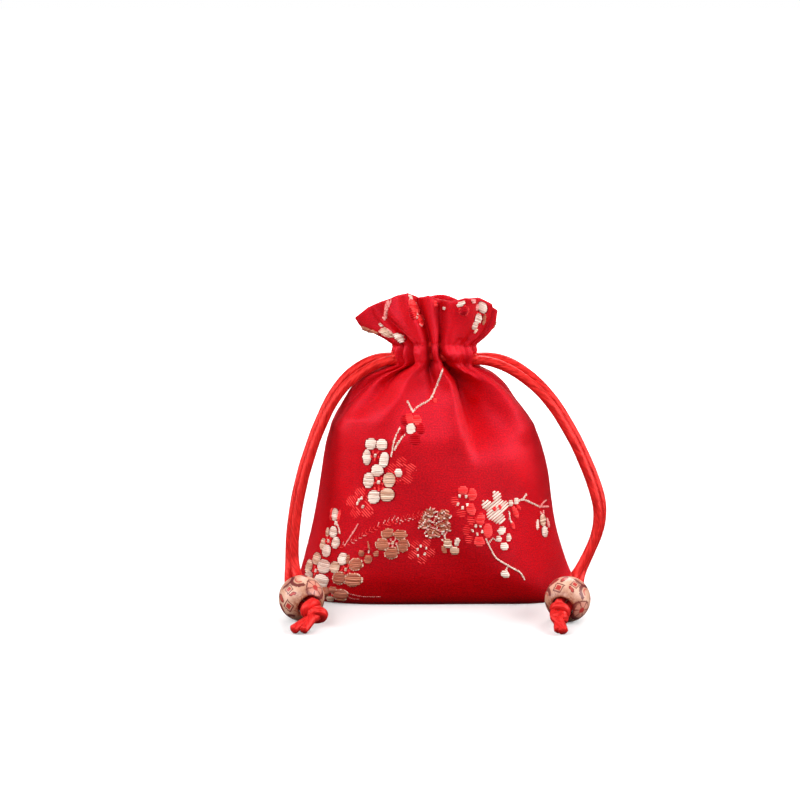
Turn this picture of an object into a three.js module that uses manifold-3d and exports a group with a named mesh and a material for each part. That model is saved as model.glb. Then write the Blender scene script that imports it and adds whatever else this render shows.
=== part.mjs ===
// A small brocade drawstring pouch, standing on its base: a cloth bag with a gathered neck and a ruffle,
// two drawcords that each run once round the stitched casing in the neck, and a wooden bead and a knot on
// the two ends of each cord. Millimetres, +Z up. The origin is on the ground under the middle of the bag,
// and the bag's front faces -Y.
import * as THREE from "three";
import { mergeVertices } from "three/addons/utils/BufferGeometryUtils.js";
import Module from "manifold-3d";

const wasm = await Module();
wasm.setup();

// Driving dimensions
const CORD_DIAMETER = 2.5;
const BEAD_DIAMETER = 12;
const GAP = 0.3;
const CORD_PITCH = CORD_DIAMETER + GAP;

// Casing: the stitched channel round the neck, which holds one turn of each cord, one above the other
const CASING = {
  z: 68.8,
  sideDrop: 2,
  shift: -0.8,
  halfWidth: 7.55,
  halfDepth: 5.75,
  radialRoom: CORD_DIAMETER + 2 * GAP,
  heightRoom: CORD_PITCH + CORD_DIAMETER + 2 * GAP,
  bevel: 0.8,
  slotWidth: CORD_PITCH + CORD_DIAMETER + 6 * GAP,
  slotLength: 8,
};

// Way of a cord in the casing: straight through the slot, then round from one side of it to the other
const TURN = { slotStart: 4.4, slotEnd: 1.6, lane: CORD_PITCH / 2 + 0.05, joinAngle: 29, points: 15 };

// Bead and knot: the bead's hole takes two strands side by side
const BEAD = {
  hole: CORD_PITCH + CORD_DIAMETER + 2 * GAP,
  edgeWidth: 0.7,
  edgeDrop: 0.3,
  arcSteps: 10,
  turns: 20,
  cordEnd: BEAD_DIAMETER / 2 - 0.75,
};
const KNOT = { length: 6.6, radius: 3.3, back: BEAD.cordEnd + GAP, tailHeight: 1.3, tailSteps: 5 };

// Mesh fineness
const AROUND = 56;
const ROWS_PER_SECTION = 2;
const CASING_STEPS = 40;
const CORD_SIDES = 8;
const CORD_STEPS = 84;

// Turns rows of numbers into objects whose keys are the column names.
function table(columns, rows) {
  return rows.map((row) => Object.fromEntries(columns.map((name, index) => [name, row[index]])));
}

// Sections of the bag from the ground to the top edge. z is the height at the front, and sideDrop and
// backDrop how much lower the section runs at the side seams and at the back. fullness squares the front
// and back, corner sharpens the side seams, wall is the cloth's thickness at the front and seamWall that
// at the seams.
const SECTIONS = table(
  ["z", "halfWidth", "halfDepth", "shift", "fullness", "corner", "wall", "seamWall", "sideDrop", "backDrop"],
  [
    [0.0, 36.6, 8.4, 0.0, 6.0, 0.8, 1.2, 4.6, 0.0, 0.0],
    [1.4, 37.3, 10.0, -0.1, 5.6, 0.78, 1.2, 4.4, 0.0, 0.0],
    [4.2, 37.2, 11.6, -0.2, 5.0, 0.74, 1.2, 4.0, 0.0, 0.0],
    [9.6, 35.4, 13.6, -0.6, 4.0, 0.68, 1.2, 3.2, 0.0, 0.0],
    [18.0, 33.1, 15.4, -0.8, 3.2, 0.6, 1.2, 2.2, 0.0, 0.0],
    [26.5, 31.6, 16.1, -0.8, 2.6, 0.54, 1.2, 1.6, 0.0, 0.0],
    [35.0, 30.3, 16.0, -0.8, 2.2, 0.5, 1.2, 1.3, 0.2, 0.0],
    [42.4, 28.8, 15.3, -1.1, 2.0, 0.5, 1.2, 1.2, 0.5, 0.0],
    [49.6, 26.5, 14.2, -1.5, 2.0, 0.5, 1.2, 1.2, 0.9, 0.0],
    [55.6, 23.2, 12.9, -2.1, 2.0, 0.5, 1.2, 1.2, 1.3, 0.0],
    [60.0, 20.4, 11.8, -2.1, 2.0, 0.5, 1.2, 1.2, 1.6, 0.0],
    [63.2, 16.8, 10.7, -1.9, 2.0, 0.5, 1.3, 1.3, 1.8, 0.0],
    [65.2, 12.8, 9.7, -1.3, 2.0, 0.5, 3.0, 3.4, 2.0, 0.0],
    [66.6, 11.2, 9.3, -0.8, 2.0, 0.5, 6.0, 6.0, 2.0, 0.0],
    [68.8, 11.3, 9.3, -0.8, 2.0, 0.5, 6.1, 6.1, 2.0, 0.0],
    [71.2, 11.2, 9.1, -0.8, 2.0, 0.5, 5.9, 5.9, 2.0, 0.0],
    [72.8, 12.2, 9.0, -0.9, 2.0, 0.5, 3.4, 3.4, 2.4, 0.3],
    [75.0, 13.8, 8.8, -1.1, 2.0, 0.5, 1.5, 1.5, 3.2, 0.8],
    [80.0, 16.6, 8.3, -1.4, 2.0, 0.5, 1.3, 1.3, 4.8, 2.2],
    [84.9, 17.8, 7.8, -1.5, 2.0, 0.5, 1.3, 1.3, 5.6, 3.4],
  ],
);

// Main folds and dents of the cloth. Each fold has a row for each height where it is measured, low to high:
// bearing is the angle round the bag from the front, positive to the right, halfAngle the fold's half
// width, and depth how far the cloth is drawn in.
const FOLDS = Object.groupBy(
  table(
    ["fold", "z", "bearing", "halfAngle", "depth"],
    [
      ["right dent", 41, 26, 16, 0],
      ["right dent", 48, 21, 14, 3.6],
      ["right dent", 57, 17, 11, 4.2],
      ["right dent", 66, 14, 8, 1.1],
      ["right dent", 70, 12, 7, 0],
      ["front pleat", 52, -12, 9, 0],
      ["front pleat", 61, -10, 7, 2.4],
      ["front pleat", 69, -10, 6, 1.1],
      ["front pleat", 85, -5, 7, 2.6],
      ["right pleat", 66, 8, 6, 0],
      ["right pleat", 69, 8, 6, 1.1],
      ["right pleat", 85, 11, 7, 2.4],
      ["left dent", 48, -62, 13, 0],
      ["left dent", 57, -52, 11, 2.4],
      ["left dent", 66, -42, 9, 1.1],
      ["left dent", 85, -38, 9, 1.4],
      ["back left dent", 45, 222, 14, 0],
      ["back left dent", 56, 218, 11, 3.2],
      ["back left dent", 69, 214, 8, 1.1],
      ["back left dent", 85, 212, 9, 2.2],
      ["back pleat", 50, 184, 10, 0],
      ["back pleat", 60, 182, 8, 2.6],
      ["back pleat", 69, 181, 7, 1.1],
      ["back pleat", 85, 180, 8, 2.6],
      ["back right dent", 43, 140, 15, 0],
      ["back right dent", 55, 144, 12, 3.4],
      ["back right dent", 69, 148, 8, 1.1],
      ["back right dent", 85, 150, 9, 2.2],
    ],
  ),
  (row) => row.fold,
);

// Routes of the free strands, from the casing to the bead: x, y, z
const ROUTES = {
  left: {
    front: [
      [-14.6, -1.5, 67.2],
      [-18.0, -2.2, 64.2],
      [-21.9, -3.2, 60.4],
      [-25.9, -4.4, 55.6],
      [-29.6, -5.7, 48.6],
      [-32.6, -7.0, 40.4],
      [-34.8, -8.1, 32.0],
      [-36.2, -9.1, 24.2],
      [-36.9, -10.0, 16.8],
      [-36.9, -11.0, 11.4],
      [-36.7, -13.0, 7.6],
    ],
    back: [
      [-14.6, 1.4, 68.0],
      [-18.6, 0.9, 66.6],
      [-22.6, -0.2, 63.6],
      [-26.8, -1.8, 58.6],
      [-30.8, -3.6, 51.0],
      [-34.2, -5.4, 42.4],
      [-37.0, -7.1, 33.6],
      [-38.8, -8.6, 24.8],
      [-39.8, -9.9, 16.8],
      [-39.9, -11.2, 11.2],
      [-39.5, -13.6, 7.4],
    ],
  },
  right: {
    front: [
      [13.6, -1.5, 65.2],
      [17.8, -2.1, 63.2],
      [23.0, -3.0, 59.6],
      [28.2, -4.0, 54.6],
      [32.2, -5.0, 48.6],
      [35.6, -6.0, 42.4],
      [38.1, -7.0, 36.4],
      [40.2, -8.0, 30.2],
      [41.2, -8.9, 25.0],
      [40.5, -9.8, 19.6],
      [38.2, -10.9, 14.2],
      [35.6, -12.2, 9.6],
      [34.6, -14.0, 6.9],
    ],
    back: [
      [13.6, 1.4, 65.8],
      [18.8, 0.8, 64.9],
      [24.2, -0.4, 62.0],
      [29.6, -2.0, 56.8],
      [33.8, -3.6, 50.8],
      [37.4, -5.2, 44.4],
      [40.5, -6.7, 38.0],
      [43.0, -8.0, 32.0],
      [44.1, -9.1, 26.4],
      [43.2, -10.1, 20.6],
      [40.8, -11.2, 14.8],
      [38.4, -12.6, 9.6],
      [37.2, -14.4, 6.8],
    ],
  },
};

// Ends of the two cords. level is the cord's place in the casing, 1 for the upper turn. swing turns the
// bead's hole, in degrees, from facing straight out to the front. tails are where the cord's ends lie.
const SIDES = {
  left: { side: -1, level: 1, bead: [-35.8, -21.4], swing: 25, tails: [[-37.4, -32.2], [-35.2, -34.2]] },
  right: { side: 1, level: -1, bead: [33.9, -22.3], swing: -16, tails: [[30.4, -34.4], [33.2, -34.6]] },
};

const radians = THREE.MathUtils.degToRad;

// Value on a smooth curve through four evenly spaced values, at a share of the way from the second on.
function smoothThrough(before, from, to, after, share) {
  const leave = (to - before) / 2;
  const arrive = (after - from) / 2;
  const square = share * share;
  const cube = square * share;
  const bend = (2 * cube - 3 * square + 1) * from + (3 * square - 2 * cube) * to;
  return bend + (cube - 2 * square + share) * leave + (cube - square) * arrive;
}

// Section of the bag at a fractional row of the table.
function sectionAt(position) {
  const last = SECTIONS.length - 1;
  const start = Math.min(Math.floor(position), last - 1);
  const near = [start - 1, start, start + 1, start + 2];
  const rows = near.map((row) => SECTIONS[THREE.MathUtils.clamp(row, 0, last)]);
  const names = Object.keys(SECTIONS[0]);
  const blend = (name) => smoothThrough(...rows.map((row) => row[name]), position - start);
  return Object.fromEntries(names.map((name) => [name, blend(name)]));
}

// How far the folds draw the cloth in at a height and a bearing.
function foldDepth(z, bearing) {
  let depth = 0;
  for (const rows of Object.values(FOLDS)) {
    const upper = rows.findIndex((row) => row.z > z);
    if (upper < 1) continue;
    const [low, high] = [rows[upper - 1], rows[upper]];
    const share = THREE.MathUtils.smoothstep(z, low.z, high.z);
    const mix = (name) => THREE.MathUtils.lerp(low[name], high[name], share);
    const away = THREE.MathUtils.euclideanModulo(bearing - mix("bearing") + 180, 360) - 180;
    depth += mix("depth") * Math.exp(-((away / mix("halfAngle")) ** 2));
  }
  return depth;
}

// Closed ring of points round the bag at a section. inset moves it to the inside of the cloth.
function ring(section, inset, foldShare) {
  const halfWidth = section.halfWidth - inset * section.seamWall;
  const halfDepth = section.halfDepth - inset * section.wall;
  const points = [];
  for (let step = 0; step < AROUND; step += 1) {
    const bearing = (360 * step) / AROUND;
    const across = Math.sin(radians(bearing));
    const towardsBack = -Math.cos(radians(bearing));
    const depthShare = Math.max(0, 1 - Math.abs(across) ** section.fullness) ** section.corner;
    const point = new THREE.Vector3(halfWidth * across, Math.sign(towardsBack) * halfDepth * depthShare, 0);
    const outwards = new THREE.Vector3(point.x / halfWidth ** 2, point.y / halfDepth ** 2, 0).normalize();
    point.addScaledVector(outwards, -foldShare * foldDepth(section.z, bearing));
    point.x += section.shift;
    const lower = section.sideDrop * across ** 2 + (section.backDrop * (1 + towardsBack)) / 2;
    point.z = section.z - lower;
    points.push(point);
  }
  return points;
}

// Closed surface through rings of equally many points. It either loops back to the first ring, or ends at
// a point in the middle of the first ring and of the last.
function skin(rings, loops) {
  const count = rings[0].length;
  const points = rings.flat();
  const triangles = [];
  const bands = loops ? rings.length : rings.length - 1;
  for (let band = 0; band < bands; band += 1) {
    const low = band * count;
    const high = ((band + 1) % rings.length) * count;
    for (let step = 0; step < count; step += 1) {
      const next = (step + 1) % count;
      triangles.push(low + step, low + next, high + next, low + step, high + next, high + step);
    }
  }
  if (!loops) {
    const sum = (ringPoints) => ringPoints.reduce((total, point) => total.add(point), new THREE.Vector3());
    const middle = (ringPoints) => sum(ringPoints).divideScalar(count);
    const lastRow = (rings.length - 1) * count;
    points.push(middle(rings[0]), middle(rings.at(-1)));
    for (let step = 0; step < count; step += 1) {
      const next = (step + 1) % count;
      triangles.push(points.length - 2, next, step, points.length - 1, lastRow + step, lastRow + next);
    }
  }
  const geometry = new THREE.BufferGeometry().setFromPoints(points);
  return geometry.setIndex(triangles);
}

// Solid of a closed geometry, with the vertices that its faces share made one.
function solid(geometry) {
  const bare = geometry.clone();
  bare.deleteAttribute("normal");
  bare.deleteAttribute("uv");
  const merged = mergeVertices(bare, 1e-4);
  const vertProperties = Float32Array.from(merged.attributes.position.array);
  const triVerts = Uint32Array.from(merged.index.array);
  return new wasm.Manifold(new wasm.Mesh({ numProp: 3, vertProperties, triVerts }));
}

// Geometry of a solid.
function geometryOf(body) {
  const { vertProperties, triVerts } = body.getMesh();
  const geometry = new THREE.BufferGeometry();
  geometry.setAttribute("position", new THREE.BufferAttribute(vertProperties, 3));
  geometry.setIndex(new THREE.BufferAttribute(triVerts, 1));
  geometry.computeVertexNormals();
  return geometry;
}

// Point on the middle line of the casing. turn runs from 0 at the right seam through the back.
function casingPoint(turn, level, widen = 0) {
  const x = (CASING.halfWidth + widen) * Math.cos(turn);
  const y = (CASING.halfDepth + widen) * Math.sin(turn);
  const z = CASING.z - CASING.sideDrop * Math.cos(turn) ** 2 + (level * CORD_PITCH) / 2;
  return new THREE.Vector3(CASING.shift + x, y, z);
}

// Channel inside the casing, with its edges bevelled.
function casingChannel() {
  const { bevel } = CASING;
  const reach = CASING.radialRoom / 2;
  const rise = CASING.heightRoom / 2;
  const corners = [];
  for (const [up, out] of [[-1, 1], [1, 1], [1, -1], [-1, -1]]) {
    const pair = [[out * reach, up * (rise - bevel)], [out * (reach - bevel), up * rise]];
    corners.push(...(up * out < 0 ? pair.reverse() : pair));
  }
  const rings = [];
  for (let step = 0; step < CASING_STEPS; step += 1) {
    const turn = (-2 * Math.PI * step) / CASING_STEPS;
    rings.push(corners.map(([widen, lift]) => casingPoint(turn, 0, widen).add(new THREE.Vector3(0, 0, lift))));
  }
  return skin(rings, true);
}

// Slot through the casing's outer cloth where the two strands of a cord come out.
function casingSlot({ side, level }) {
  const mouth = casingPoint(side > 0 ? 0 : Math.PI, level);
  const slot = new THREE.BoxGeometry(CASING.slotLength, CASING.slotWidth, CASING.radialRoom);
  return slot.translate(mouth.x + (side * CASING.slotLength) / 2, 0, mouth.z);
}

function pouchShell() {
  const outerRows = (SECTIONS.length - 1) * ROWS_PER_SECTION;
  const outside = Array.from({ length: outerRows + 1 }, (_, row) => sectionAt(row / ROWS_PER_SECTION))
    .map((section) => ring(section, 0, 1));
  const inside = SECTIONS.map((section) => {
    const inner = { ...section, z: Math.max(section.z, section.wall) };
    const folded = section.wall < 2 ? 1 : 0;
    return ring(inner, 1, folded);
  });
  inside.splice(1, 1);
  let bag = solid(skin([...outside, ...inside.reverse()], false)).subtract(solid(casingChannel()));
  for (const cord of Object.values(SIDES)) bag = bag.subtract(solid(casingSlot(cord)));
  return geometryOf(bag);
}

// Horizontal direction of a bead's hole, from the cord's side to the knot's side.
function holeDirection({ swing }) {
  return new THREE.Vector3(Math.sin(radians(swing)), -Math.cos(radians(swing)), 0);
}

// Point on one strand inside a bead's hole, at a distance along the hole from the bead's centre.
function holePoint(cord, strand, along) {
  const hole = holeDirection(cord);
  const aside = new THREE.Vector3(-hole.y, hole.x, 0).multiplyScalar((strand * CORD_PITCH) / 2);
  const centre = new THREE.Vector3(...cord.bead, BEAD_DIAMETER / 2);
  return centre.addScaledVector(hole, along).add(aside);
}

// One whole cord: in at the knot, through the bead, up into the casing, once round it and back down.
function drawcord(cord, { front, back }) {
  const seam = cord.side > 0 ? 0 : Math.PI;
  const mouth = casingPoint(seam, cord.level);
  const inHole = [BEAD.cordEnd, 0, -BEAD.cordEnd];
  const free = (points) => points.map((point) => new THREE.Vector3(...point));
  const inSlot = (towardsBack) =>
    [TURN.slotStart, TURN.slotEnd].map(
      (out) => new THREE.Vector3(mouth.x + cord.side * out, towardsBack * TURN.lane, mouth.z),
    );
  const turns = Array.from({ length: TURN.points }, (_, step) => {
    const angle = TURN.joinAngle + ((360 - 2 * TURN.joinAngle) * step) / (TURN.points - 1);
    return casingPoint(seam - cord.side * radians(angle), cord.level);
  });
  const inner = cord.side < 0 ? 1 : -1;
  const points = [
    ...inHole.map((along) => holePoint(cord, inner, along)),
    ...free(front).reverse(),
    ...inSlot(-1),
    ...turns,
    ...inSlot(1).reverse(),
    ...free(back),
    ...inHole.reverse().map((along) => holePoint(cord, -inner, along)),
  ];
  const section = new THREE.Shape();
  for (let corner = 0; corner < CORD_SIDES; corner += 1) {
    const angle = (2 * Math.PI * corner) / CORD_SIDES;
    const at = [(CORD_DIAMETER / 2) * Math.cos(angle), (CORD_DIAMETER / 2) * Math.sin(angle)];
    if (corner === 0) section.moveTo(...at);
    else section.lineTo(...at);
  }
  const extrudePath = new THREE.CatmullRomCurve3(points);
  return new THREE.ExtrudeGeometry(section, { steps: CORD_STEPS, extrudePath, bevelEnabled: false });
}

// Round bead about its own Y axis, with a straight hole and eased hole edges.
function bead() {
  const radius = BEAD_DIAMETER / 2;
  const hole = BEAD.hole / 2;
  const edge = hole + BEAD.edgeWidth;
  const faceHeight = Math.sqrt(radius ** 2 - edge ** 2);
  const start = Math.atan2(faceHeight, edge);
  const holeEnd = faceHeight - BEAD.edgeDrop;
  const profile = [new THREE.Vector2(hole, -holeEnd)];
  for (let step = 0; step <= BEAD.arcSteps; step += 1) {
    const angle = THREE.MathUtils.lerp(-start, start, step / BEAD.arcSteps);
    profile.push(new THREE.Vector2(radius * Math.cos(angle), radius * Math.sin(angle)));
  }
  profile.push(new THREE.Vector2(hole, holeEnd), profile[0].clone());
  return new THREE.LatheGeometry(profile, BEAD.turns);
}

// Knot in front of a bead's hole, with its two tails lying down to the ground. It is made in place.
function knot(cord) {
  const hole = holeDirection(cord);
  const centre = new THREE.Vector3(...cord.bead, BEAD_DIAMETER / 2);
  centre.addScaledVector(hole, KNOT.back + KNOT.length / 2);
  const lump = new THREE.SphereGeometry(1, 16, 12);
  lump.scale(KNOT.radius, KNOT.length / 2, KNOT.radius);
  lump.rotateZ(radians(cord.swing)).translate(centre.x, centre.y, centre.z);
  let body = solid(lump);
  for (const [x, y] of cord.tails) {
    const end = new THREE.Vector3(x, y, KNOT.tailHeight);
    const bend = centre.clone().lerp(end, 0.6);
    bend.y -= KNOT.tailHeight / 2;
    const extrudePath = new THREE.CatmullRomCurve3([centre.clone(), bend, end]);
    const section = new THREE.Shape().absarc(0, 0, CORD_DIAMETER / 2, 0, 2 * Math.PI);
    const options = { steps: KNOT.tailSteps, curveSegments: CORD_SIDES / 2, extrudePath, bevelEnabled: false };
    body = body.add(solid(new THREE.ExtrudeGeometry(section, options)));
  }
  return geometryOf(body);
}

// Finishes
const brocade = new THREE.MeshStandardMaterial({ color: 0xc81428, roughness: 0.45, metalness: 0 });
const satin = new THREE.MeshStandardMaterial({ color: 0xe0281c, roughness: 0.4, metalness: 0 });
const wood = new THREE.MeshStandardMaterial({ color: 0xd8a87c, roughness: 0.3, metalness: 0 });

function named(name, geometry, material) {
  const mesh = new THREE.Mesh(geometry, material);
  mesh.name = name;
  return mesh;
}

const pouch = new THREE.Group();
pouch.add(named("pouch_shell", pouchShell(), brocade));
for (const [where, cord] of Object.entries(SIDES)) {
  const threaded = named(`bead_${where}`, bead(), wood);
  threaded.position.set(...cord.bead, BEAD_DIAMETER / 2);
  threaded.rotation.z = radians(cord.swing);
  pouch.add(threaded, named(`drawcord_${where}`, drawcord(cord, ROUTES[where]), satin));
  pouch.add(named(`knot_${where}`, knot(cord), satin));
}

export default pouch;
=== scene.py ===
"""Brocade drawstring pouch: gathered satin, raised plum blossom, satin cords, printed wooden beads."""

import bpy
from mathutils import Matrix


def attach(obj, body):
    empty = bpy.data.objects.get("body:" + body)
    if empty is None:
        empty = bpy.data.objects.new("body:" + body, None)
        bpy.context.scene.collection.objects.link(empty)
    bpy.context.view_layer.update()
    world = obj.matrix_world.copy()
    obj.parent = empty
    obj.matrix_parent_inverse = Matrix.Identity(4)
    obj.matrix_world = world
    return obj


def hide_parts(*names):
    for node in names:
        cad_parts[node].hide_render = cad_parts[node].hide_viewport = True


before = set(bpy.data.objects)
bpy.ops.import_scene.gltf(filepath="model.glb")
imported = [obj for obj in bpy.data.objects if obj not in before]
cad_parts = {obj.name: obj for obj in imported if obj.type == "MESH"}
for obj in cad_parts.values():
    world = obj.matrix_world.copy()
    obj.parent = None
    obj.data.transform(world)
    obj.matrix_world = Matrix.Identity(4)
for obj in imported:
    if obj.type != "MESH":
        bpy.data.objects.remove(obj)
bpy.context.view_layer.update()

import logging
import math
from dataclasses import dataclass, field, replace
from enum import Enum

import bpy
import numpy as np
from mathutils import Matrix, Vector

log = logging.getLogger("pouch")
MM = 0.001
SEED = 7
BODY = "root"
TINY = 1e-9
Piece = bpy.types.Object
Node = bpy.types.Node
Socket = bpy.types.NodeSocket
Tree = bpy.types.NodeTree
Material = bpy.types.Material
Table = tuple[tuple[float, ...], ...]
Span = tuple[float, float]
Point = tuple[float, float, float]
Colour = tuple[float, float, float]


class Slot(Enum):
    """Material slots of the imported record."""

    CLOTH = "brocade"
    CORD = "satin_cord"
    WOOD = "bead_wood"


class Thread(Enum):
    """Weft colours that float over the satin; two of them are the ivory weft darkened as painted shade."""

    IVORY = "ivory"
    # Ivory weft darkened partway: painted shade where the ivory thread turns from the lights
    HALF_SHADED_IVORY = "half_shaded_ivory"
    # Ivory weft darkened further: painted shade where the ivory thread faces away from the lights
    TAN = "tan"
    CORAL = "coral"
    GARNET = "garnet"
    ROSE = "rose"
    # Nearly black red ring round ivory lobes: partly outline thread, partly painted shade
    OUTLINE_AND_SHADE = "outline_and_shade"


class Fill(Enum):
    """How the weft fills a motif of the pattern."""

    SOLID = "solid"
    STRIPED = "striped"
    FLECKED = "flecked"


class Hand(Enum):
    """The pouch's two sides, as the camera sees them."""

    LEFT = "left"
    RIGHT = "right"


# Small helpers for shapes


def smooth(share: np.ndarray) -> np.ndarray:
    """Eases a share from 0 to 1."""
    return share * share * (3.0 - 2.0 * share)


def catmull_rom(rows: np.ndarray, steps: int) -> np.ndarray:
    """Runs a smooth curve through rows of numbers.

    Args:
        rows: One row for each knot of the curve.
        steps: Number of steps between two knots.

    Returns:
        The rows of the curve, the knots among them.
    """
    padded = np.vstack([2 * rows[0] - rows[1], rows, 2 * rows[-1] - rows[-2]])
    share = np.linspace(0.0, 1.0, steps, endpoint=False)[:, None]
    made = []
    for a, b, c, d in zip(padded, padded[1:], padded[2:], padded[3:]):
        cubic = 3 * b - a - 3 * c + d
        square = 2 * a - 5 * b + 4 * c - d
        made.append(b + 0.5 * share * (c - a + share * (square + share * cubic)))
    made.append(rows[-1:])
    return np.vstack(made)


def run_along(points: np.ndarray) -> np.ndarray:
    """Distance of each point of a line from its start, along the line."""
    return np.concatenate([[0.0], np.cumsum(np.linalg.norm(np.diff(points, axis=0), axis=1))])


def points_at(points: np.ndarray, run: np.ndarray, at: np.ndarray) -> np.ndarray:
    """Places on a line at the given distances along it."""
    return np.stack([np.interp(at, run, points[:, k]) for k in range(points.shape[1])], axis=1)


def spaced(points: np.ndarray, gap: float) -> np.ndarray:
    """Lays points along a line at even distances.

    Args:
        points: The line's points.
        gap: Distance between two new points.

    Returns:
        The new points, the line's ends among them.
    """
    run = run_along(points)
    count = max(2, int(round(run[-1] / gap)) + 1)
    return points_at(points, run, np.linspace(0.0, run[-1], count))


def eased(line: np.ndarray, rounds: int) -> np.ndarray:
    """Rounds off the tight bends of a line, whose two ends stay.

    Args:
        line: Points of the line, evenly spaced.
        rounds: Number of times that each point moves towards its neighbours.

    Returns:
        The eased line.
    """
    line = line.copy()
    for _ in range(rounds):
        line[1:-1] = 0.5 * line[1:-1] + 0.25 * (line[:-2] + line[2:])
    return line


def off_bearing(bearing: np.ndarray, middle: np.ndarray | float) -> np.ndarray:
    """Degrees from a middle to each bearing, the short way round."""
    return (bearing - middle + 180.0) % 360.0 - 180.0


def columns_at(level: np.ndarray, rows: np.ndarray) -> list[np.ndarray]:
    """A table's other columns, read at values of its first one."""
    return [np.interp(level, rows[:, 0], rows[:, k]) for k in range(1, rows.shape[1])]


def grid_faces(rows: int, columns: int) -> np.ndarray:
    """Faces between rows of points that each go once round.

    Args:
        rows: Number of rows.
        columns: Number of points in a row.

    Returns:
        One line of four point numbers for each face.
    """
    low = np.arange(rows - 1)[:, None] * columns
    here = np.arange(columns)[None, :]
    after = (here + 1) % columns
    faces = [low + here, low + after, low + after + columns, low + here + columns]
    return np.stack(faces, axis=-1).reshape(-1, 4)


def closed_faces(rows: int, columns: int) -> list[list[int]]:
    """Faces of a closed skin: those between its rows, and one at each end.

    Args:
        rows: Number of rows.
        columns: Number of points in a row.

    Returns:
        Lists of point numbers.
    """
    last = (rows - 1) * columns
    ends = [list(range(columns))[::-1], list(range(last, last + columns))]
    return grid_faces(rows, columns).tolist() + ends


def new_piece(name: str, points: np.ndarray, faces: list) -> Piece:
    """Makes a smooth mesh piece that rides on the part's body.

    Args:
        name: The piece's name.
        points: Its points in metres.
        faces: Its faces, as lists of point numbers.

    Returns:
        The new object.
    """
    mesh = bpy.data.meshes.new(name)
    mesh.from_pydata(points.tolist(), [], faces)
    mesh.shade_smooth()
    piece = bpy.data.objects.new(name, mesh)
    bpy.context.scene.collection.objects.link(piece)
    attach(piece, BODY)
    return piece


def set_uv(piece: Piece, across: np.ndarray, along: np.ndarray, turn: float = 0.0) -> None:
    """Gives a piece cloth coordinates in millimetres.

    Args:
        piece: The piece.
        across: First coordinate of each point.
        along: Second coordinate of each point.
        turn: Length of one turn of the first coordinate, to close a seam, or 0.
    """
    mesh = piece.data
    corner = np.empty(len(mesh.loops), dtype=np.int32)
    mesh.loops.foreach_get("vertex_index", corner)
    u, v = across[corner], along[corner]
    if turn:
        starts = np.empty(len(mesh.polygons), dtype=np.int32)
        totals = np.empty(len(mesh.polygons), dtype=np.int32)
        mesh.polygons.foreach_get("loop_start", starts)
        mesh.polygons.foreach_get("loop_total", totals)
        top = np.repeat(np.maximum.reduceat(u, starts), totals)
        u = np.where(top - u > turn / 2, u + turn, u)
    layer = mesh.uv_layers.new(name="cloth")
    layer.data.foreach_set("uv", np.stack([u, v], axis=1).astype(np.float32).ravel())


def set_share(piece: Piece, name: str, values: np.ndarray) -> None:
    """Keeps one number for each point of a piece, for its finish to read."""
    piece.data.attributes.new(name, "FLOAT", "POINT").data.foreach_set("value", values.astype(np.float32))


@dataclass
class Tube:
    """A round length of cord swept along a line."""

    line: np.ndarray
    radius: float
    sides: int = 20
    ribs: int = 0
    rib_depth: float = 0.0
    rib_pitch: float = 6.0
    dome: float = 0.45
    tip: float = 0.05
    askew: Point = (0.31, 0.52, 0.8)

    def frames(self) -> tuple[np.ndarray, np.ndarray]:
        """Two sideways directions at each point of the line, which don't twist.

        Returns:
            The first and the second direction.
        """
        ahead = np.gradient(self.line, axis=0)
        ahead /= np.linalg.norm(ahead, axis=1)[:, None]
        start = np.cross(ahead[0], self.askew)
        side = [start / np.linalg.norm(start)]
        for here in ahead[1:]:
            turned = side[-1] - here * (side[-1] @ here)
            side.append(turned / np.linalg.norm(turned))
        first = np.array(side)
        return first, np.cross(ahead, first)

    def mesh(self) -> tuple[np.ndarray, list, np.ndarray, np.ndarray]:
        """Points, faces and cloth coordinates of the tube.

        Returns:
            The points, the faces, the angle in turns and the run along the tube for each point.
        """
        first, second = self.frames()
        run = run_along(self.line)
        angle = np.arange(self.sides) * 2 * math.pi / self.sides
        wave = np.sin(self.ribs * angle[None, :] + 2 * math.pi * run[:, None] / self.rib_pitch)
        wide = self.radius * (1.0 + self.rib_depth * wave)
        for end in (run[0], run[-1]):
            left = np.clip(np.abs(run - end) / (self.dome * self.radius), 0.0, 1.0)
            wide = wide * np.sqrt(np.clip(1.0 - (1.0 - left) ** 2, self.tip, 1.0))[:, None]
        ring = first[:, None, :] * np.cos(angle)[None, :, None]
        ring = ring + second[:, None, :] * np.sin(angle)[None, :, None]
        points = self.line[:, None, :] + ring * wide[:, :, None]
        rows = len(self.line)
        around = np.tile(angle / (2 * math.pi), rows)
        return points.reshape(-1, 3), closed_faces(rows, self.sides), around, np.repeat(run, self.sides)


def tube_piece(name: str, tubes: list[Tube]) -> Piece:
    """Joins tubes, given in millimetres, into one piece.

    Args:
        name: The piece's name.
        tubes: The tubes.

    Returns:
        The new object, with cloth coordinates.
    """
    points, faces, around, along = [], [], [], []
    count = 0
    for tube in tubes:
        made, rings, turn, run = tube.mesh()
        points.append(made)
        faces.extend([[n + count for n in face] for face in rings])
        around.append(turn)
        along.append(run)
        count += len(made)
    piece = new_piece(name, np.vstack(points) * MM, faces)
    set_uv(piece, np.concatenate(around), np.concatenate(along), turn=1.0)
    return piece


# Shader node groups and finishes


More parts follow.
